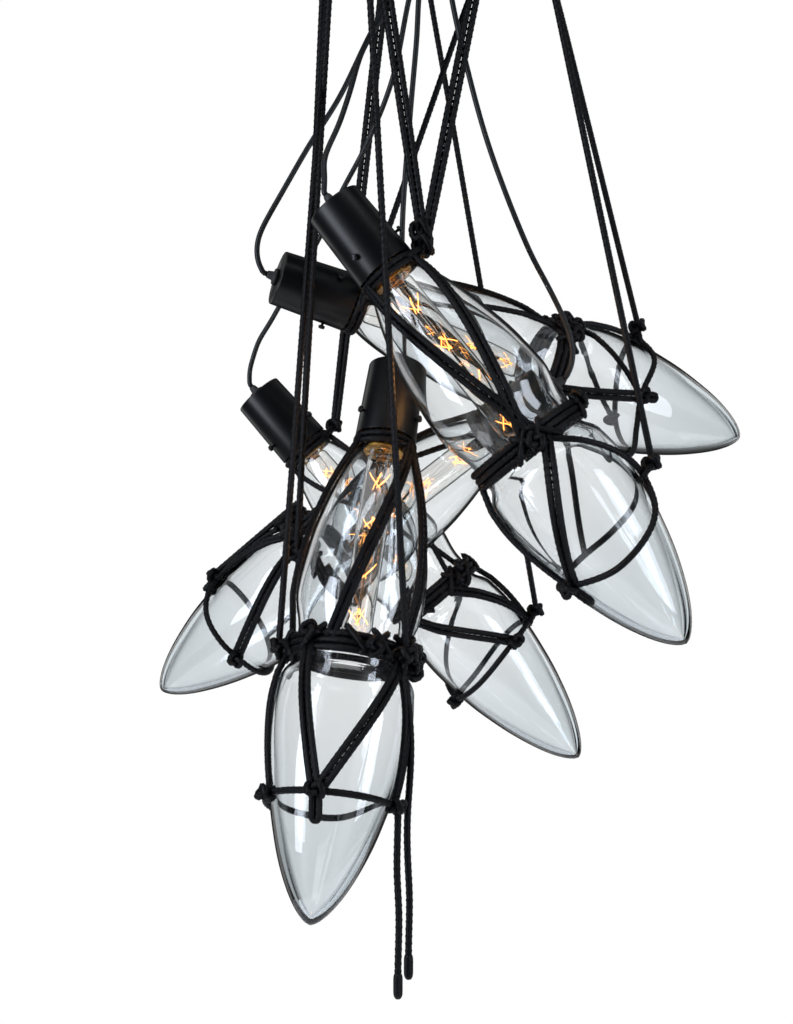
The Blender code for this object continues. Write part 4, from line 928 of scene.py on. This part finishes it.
def thumbscrew(place, out):
    """A small headed screw with a knurled head: its outline turned about the outward direction."""
    along, radius = np.array(SCREW_OUTLINE).T[..., None]
    turn = circle(SCREW_SIDES)
    knurl = np.where(radius > 0.003, 1 + 0.05 * np.cos(KNURLS * turn), 1.0)
    across = unit(np.cross(out, (0.0, 0.0, 1.0)))
    ring = np.cos(turn)[:, None] * across + np.sin(turn)[:, None] * np.cross(out, across)
    spots = place + along[..., None] * out + (radius * knurl)[..., None] * ring
    return spots, grid_faces(len(along), SCREW_SIDES, capped=True), np.zeros((*spots.shape[:2], 2))


for number, size in VESSELS.items():
    corners = [(CAP_HOLE_RADIUS, 0), (CAP_TOP_RADIUS, 0), (CAP_FOOT_RADIUS, -CAP_LENGTH),
               (CAP_FOOT_RADIUS - CAP_WALL, -CAP_LENGTH), (CAP_TOP_RADIUS - CAP_WALL, -CAP_WALL),
               (CAP_HOLE_RADIUS, -CAP_WALL)]
    outline = rounded_outline(corners, (0, CAP_EDGE, 0.0006, 0.0004, 0.001, 0))
    cap = turned_piece(f"cap_{number}_shell", outline, 112, satin_black, size)
    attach(cap, f"pendant_{number}")
    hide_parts(f"cap_{number}")
    screws = []
    for third in range(3):
        turn = math.radians(size["screws_start"] + 120 * third)
        radius = CAP_TOP_RADIUS - CAP_TAPER * SCREW_HEIGHT
        place = placed(polar(radius - 0.0005, turn, SCREW_HEIGHT), size)
        screws.append(thumbscrew(place, turned(polar(1, turn, 0), size)))
    heads = mesh_piece(f"thumbscrews_{number}", join_meshes(screws)[:2], dark_steel)
    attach(heads, f"pendant_{number}")


# Strain reliefs
# A tapered black rubber boot that is pushed into the cap's top and grips the cable.
black_rubber, tree, shader = new_material("moulded_black_rubber", "#1B1C1E", 0.6)
add_grain(tree, shader, 700.0, 3.0, 0.5, 0.7)

for number, size in VESSELS.items():
    corners = [(0, BOOT_LENGTH), (0.0036, BOOT_LENGTH), (0.0050, 0.0043), (0.0085, 0.0043),
               (0.0085, SEAT_GAP), (0.005, SEAT_GAP), (0.005, -CAP_WALL), (0, -CAP_WALL)]
    outline = rounded_outline(corners, (0, 0.0006, 0.0012, 0.0012, 0, 0, 0, 0))
    boot = turned_piece(f"boot_{number}", outline, 40, black_rubber, size)
    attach(boot, f"pendant_{number}")
    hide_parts(f"strain_relief_{number}")


# Lampholders
# A screw-base holder in a thin brass sleeve, warm gold where it shows below the cap.
brass, tree, shader = new_material("lacquered_brass", "#C99A4A", 0.28, Metallic=1.0)
fine = add_grain(tree, shader, 260.0, 4.0, 0.2, 0.36)
patina = add_node(tree, "ValToRGB", {"Fac": fine.outputs["Fac"]})
patina.color_ramp.elements[0].color = (*linear("#A8792F"), 1)
patina.color_ramp.elements[1].color = (*linear("#DDB060"), 1)
tree.links.new(patina.outputs[0], shader.inputs["Base Color"])

HOLDER_RADIUS, HOLDER_LENGTH = 0.0185, 0.094
HOLDER_BORE_RADIUS, HOLDER_BORE_DEPTH = 0.0140, 0.030
HOLDER_RIM_RADIUS, HOLDER_RIM = HOLDER_RADIUS + 0.0015, 0.004
for number, size in VESSELS.items():
    top, foot = -CAP_WALL - SEAT_GAP, -HOLDER_LENGTH
    corners = [(0, top), (0.011, top), (HOLDER_RADIUS, top - 0.008), (HOLDER_RADIUS, foot + HOLDER_RIM),
               (HOLDER_RIM_RADIUS, foot + HOLDER_RIM), (HOLDER_RIM_RADIUS, foot), (HOLDER_BORE_RADIUS, foot),
               (HOLDER_BORE_RADIUS, foot + HOLDER_BORE_DEPTH), (0, foot + HOLDER_BORE_DEPTH)]
    outline = rounded_outline(corners, (0, 0.001, 0.001, 0.0005, 0.0006, 0.0006, 0.0005, 0.0005, 0))
    holder = turned_piece(f"holder_{number}", outline, 72, brass, size)
    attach(holder, f"pendant_{number}")
    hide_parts(f"lampholder_{number}")


# Lamps
# A long tubular filament lamp, 30 mm across, in thin clear glass with a faint gold tint: a screw base, a
# glass stem with its rod, and wire stars that hold the filament, which zig-zags up and down between them.
LAMP_GLASS_RADIUS, LAMP_NECK_RADIUS, LAMP_WALL = 0.0150, 0.0125, 0.0011
LAMP_GLASS_LENGTH, LAMP_NECK_LENGTH = 0.190, 0.008
LAMP_BASE_LENGTH, LAMP_CONTACT_HEIGHT = 0.026, 0.003
STEM_LENGTH, ROD_LENGTH, ROD_RADIUS = 0.026, 0.148, 0.0016
STAR_LEVELS = 4
STAR_POINTS = 5
STAR_REACH = 0.0100
FILAMENT_RADIUS, SUPPORT_RADIUS, FINE_RUN_RADIUS = 0.00029, 0.0002, 0.00012
THREAD_RADIUS, THREAD_DEPTH, THREAD_PITCH = 0.0124, 0.0008, 0.0036
# One bright run of the filament slants over each of a star's points, up and down in turn: (reach, rise)
FILAMENT_BEND = ((-0.0020, -0.0078), (0.0080, 0.0026), (0.0104, 0.0062))
LAMP_GLOW_POWER = {1: 0.26, 2: 0.05, 3: 0.05, 4: 0.08, 5: 0.08}
LAMP_GLOW_RADIUS = 0.006

lamp_glass, _ = lamp_lit_glass("thin_lamp_glass", "#FFFEFC", 1.40, "#FFFCF6")
stem_glass, _ = lamp_lit_glass("lamp_stem_glass", "#FFFFFF", 1.3, "#FAFAF8")
support_wire, *_ = new_material("drawn_nickel_wire", "#B8A27C", 0.25, Metallic=1.0)
# Carbon filament at full heat: it gives orange-gold light of its own
filament_glow, tree, shader = new_material("glowing_carbon_filament", "#FF9A30", 0.5, Emission_Strength=6.0)
shader.inputs["Emission Color"].default_value = (*linear("#FFAA50"), 1)


def star_turn(point, level, number):
    """The bearing of a star's point: every other star stands half a step on, each lamp a little further."""
    return 2 * math.pi * (point + 0.5 * (level % 2)) / STAR_POINTS + 0.7 * number


for number, size in VESSELS.items():
    base_top = -HOLDER_LENGTH + HOLDER_BORE_DEPTH - SEAT_GAP
    shell_top = base_top - LAMP_CONTACT_HEIGHT
    foot = shell_top - LAMP_BASE_LENGTH
    heights = np.linspace(shell_top, foot + 0.004, 60)
    thread = THREAD_RADIUS + THREAD_DEPTH * np.cos((heights - shell_top) / THREAD_PITCH * 2 * math.pi)
    outline = np.vstack([[(0, base_top), (0.006, base_top)], np.column_stack([thread, heights]),
                         [(0.0130, foot + 0.003), (0.0130, foot), (0, foot)]])
    base = turned_piece(f"lamp_base_{number}", outline, 56, brass, size)
    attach(base, f"pendant_{number}")
    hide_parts(f"lamp_mount_{number}")

    neck_top = foot - SEAT_GAP
    shoulder, end = neck_top - LAMP_NECK_LENGTH, neck_top - LAMP_GLASS_LENGTH
    bend = np.linspace(0, math.pi / 2, 16)
    walls = []
    for inset in (LAMP_WALL, 0.0):
        radius, neck = LAMP_GLASS_RADIUS - inset, LAMP_NECK_RADIUS - inset
        ease = (1 - np.cos(np.linspace(0, math.pi, 12))) / 2
        neck_curve = np.column_stack([neck + (radius - neck) * ease, np.linspace(neck_top, shoulder, 12)])
        dome = np.column_stack([radius * np.cos(bend), end + LAMP_GLASS_RADIUS - radius * np.sin(bend)])
        straight = np.linspace(shoulder, end + LAMP_GLASS_RADIUS, 22)[1:-1]
        body = np.column_stack([np.full(20, radius), straight])
        dome[-1, 0] = 0
        walls.append(np.vstack([neck_curve, body, dome]))
    outline = np.vstack([walls[0][::-1], walls[1]])
    bulb = turned_piece(f"lamp_tube_{number}", outline, 64, lamp_glass, size)
    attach(bulb, f"pendant_{number}")
    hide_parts(f"lamp_glass_{number}")

    stem_foot = foot - STEM_LENGTH
    rod_foot = stem_foot - ROD_LENGTH
    stem_line = [(0, foot), (0.009, foot), (0.0062, foot - 0.006), (0.0055, stem_foot + 0.008),
                 (0.0038, stem_foot), (ROD_RADIUS, stem_foot - 0.003), (ROD_RADIUS, rod_foot),
                 (0, rod_foot - 0.0015)]
    outline = rounded_outline(stem_line, (0, 0.001, 0.002, 0.003, 0.001, 0.001, 0.0005, 0))
    stem = turned_piece(f"lamp_stem_{number}", outline, 32, stem_glass, size)
    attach(stem, f"pendant_{number}")

    # Wire stars along the rod, and the filament: bright bends over their points, and fine runs between
    level_heights = stem_foot - 0.004 - (ROD_LENGTH - 0.010) * np.arange(STAR_LEVELS) / (STAR_LEVELS - 1)
    wires, glows = [], []
    for level, level_height in enumerate(level_heights):
        for point in range(STAR_POINTS):
            turn, middle = star_turn(point, level, number), np.array([0, 0, level_height])
            way = polar(1, turn, 0)
            line = placed(spaced(np.array([middle, middle + way * STAR_REACH]), 2 * MM), size)
            wires.append(tube_surface(line, (0.1, 0.2, 1.0), SUPPORT_RADIUS, 6))
            side = (-1) ** (point + level)
            bends = [middle + way * reach + (0, 0, side * rise) for reach, rise in FILAMENT_BEND]
            line = placed(spaced(np.array(bends), 1 * MM), size)
            glows.append(tube_surface(line, (0.1, 1.0, 0.2), FILAMENT_RADIUS, 6))
            if level + 1 < STAR_LEVELS:
                reach, rise = FILAMENT_BEND[-1]
                foot_end = polar(reach, star_turn(point, level + 1, number), level_heights[level + 1] - rise)
                line = placed(spaced(np.array([bends[-1], foot_end]), 4 * MM), size)
                wires.append(tube_surface(line, (0.1, 1.0, 0.2), FINE_RUN_RADIUS, 5))
    for kind, sweep, stuff in (("stars", wires, support_wire), ("filament", glows, filament_glow)):
        piece = mesh_piece(f"lamp_{kind}_{number}", join_meshes(sweep)[:2], stuff)
        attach(piece, f"pendant_{number}")

    # The lamp's own warm light on what hangs near it
    middle = placed(np.array([0.0, 0.0, stem_foot - ROD_LENGTH / 2]), size)
    glow = add_object(f"lamp_glow_{number}", bpy.data.lights.new(f"lamp_glow_{number}", "POINT"), middle)
    glow.data.energy = LAMP_GLOW_POWER[number]
    glow.data.color = linear("#FFB469")
    glow.data.shadow_soft_size = LAMP_GLOW_RADIUS
    glow.visible_camera = glow.visible_transmission = False


# Ceiling canopy
# A shallow dish of spun steel, 350 mm across, in the same satin black as the caps, with a small hole for
# each cable. It hides the strap, the terminal block and the ropes' ends.
CANOPY_WALL = 0.0015
CANOPY_LIP = 0.006
CANOPY_SIDES = 240
CABLE_HOLE_RADIUS = 0.0045
CABLE_HOLE_SIDES = 32
PIERCED_RADIUS = 0.026
# How far the dish's outline runs straight beside its bends and inside its upper edge
BEND_RUN, EDGE_RUN = 0.005, 0.001


def ring_places(middle, radius, sides, height):
    """The places round a circle's edge about a middle, at one height."""
    return polar(radius, circle(sides), height) + (*middle, 0)


def pierced_plate(holes, height, upward):
    """The flat middle of the dish: triangles between its round edge and the holes' edges, without the
    triangles whose middles lie in a hole."""
    rings = [ring_places((0, 0), PIERCED_RADIUS, CANOPY_SIDES, height)]
    rings += [ring_places(hole, CABLE_HOLE_RADIUS, CABLE_HOLE_SIDES, height) for hole in holes]
    edges, first = [], 0
    for ring in rings:
        edges += [(first + corner, first + (corner + 1) % len(ring)) for corner in range(len(ring))]
        first += len(ring)
    flat = [Vector(spot[:2]) for spot in np.vstack(rings).tolist()]
    found, _, triangles, *_ = delaunay_2d_cdt(flat, edges, [], 1, 1e-7)
    places = np.array([(*spot, height) for spot in found])
    middles = places[np.array(triangles)].mean(1)[:, :2]
    clear = np.linalg.norm(middles[:, None] - np.array(holes)[None], axis=-1).min(1) > CABLE_HOLE_RADIUS
    order = 1 if upward else -1
    faces = [list(corners)[::order] for corners, kept in zip(triangles, clear) if kept]
    return places, faces, places[:, :2] / MM


hole_turns = np.radians(list(CABLE_HOLE_DEGREES.values()))
cable_holes = polar(CABLE_RING_RADIUS, hole_turns, 0)[:, :2]
under, upper_floor = -CANOPY_HEIGHT, -CANOPY_HEIGHT + CANOPY_WALL
lip_start, lip_top, inner_radius = CANOPY_RADIUS - CANOPY_LIP, under + CANOPY_LIP, CANOPY_RADIUS - CANOPY_WALL
corners = [(PIERCED_RADIUS, under), (lip_start - BEND_RUN, under), (lip_start, under),
           (CANOPY_RADIUS, lip_top), (CANOPY_RADIUS, lip_top + BEND_RUN),
           (CANOPY_RADIUS, -SEAT_GAP - EDGE_RUN), (CANOPY_RADIUS, -SEAT_GAP),
           (inner_radius, -SEAT_GAP), (inner_radius, -SEAT_GAP - EDGE_RUN),
           (inner_radius, lip_top + BEND_RUN), (inner_radius, lip_top),
           (lip_start, upper_floor), (lip_start - BEND_RUN, upper_floor), (PIERCED_RADIUS, upper_floor)]
outline = rounded_outline(corners, (0, 0, 0.003, 0.003, 0, 0, 0.0005, 0.0005, 0, 0, 0.003, 0.003, 0, 0))
dish = polar(outline[:, :1], circle(CANOPY_SIDES), outline[:, 1:])
dish_parts = [(dish, grid_faces(len(dish), CANOPY_SIDES), dish[..., :2] / MM),
              pierced_plate(cable_holes, under, False), pierced_plate(cable_holes, upper_floor, True)]
for hole in cable_holes:
    wall = np.array([ring_places(hole, CABLE_HOLE_RADIUS, CABLE_HOLE_SIDES, height)
                     for height in (under, upper_floor)])
    dish_parts.append((wall, grid_faces(2, CABLE_HOLE_SIDES), wall[..., :2] / MM))
canopy = mesh_piece("canopy_dish", join_meshes(dish_parts), satin_black)
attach(canopy, "ceiling_fitting")
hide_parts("canopy")

# Inside the dish: the strap, zinc-plated, and the terminal block
zinc_steel, tree, shader = new_material("zinc_plated_steel", "#A9ABAE", 0.35, Metallic=1.0)
marks = add_node(tree, "TexCoord")
fine = add_node(tree, "TexVoronoi", {"Vector": marks.outputs["Object"], "Scale": 350.0})
spangle = add_node(tree, "MapRange", {"Value": fine.outputs["Distance"], "To Min": 0.28, "To Max": 0.5})
tree.links.new(spangle.outputs[0], shader.inputs["Roughness"])
nylon, tree, shader = new_material("natural_nylon", "#E6E1D2", 0.45, Subsurface_Weight=0.1)
add_grain(tree, shader, 300.0, 2.0, 0.38, 0.55)

for name, stuff in (("ceiling_bracket", zinc_steel), ("terminal_block", nylon)):
    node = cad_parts[name]
    node.data.materials.clear()
    node.data.materials.append(stuff)
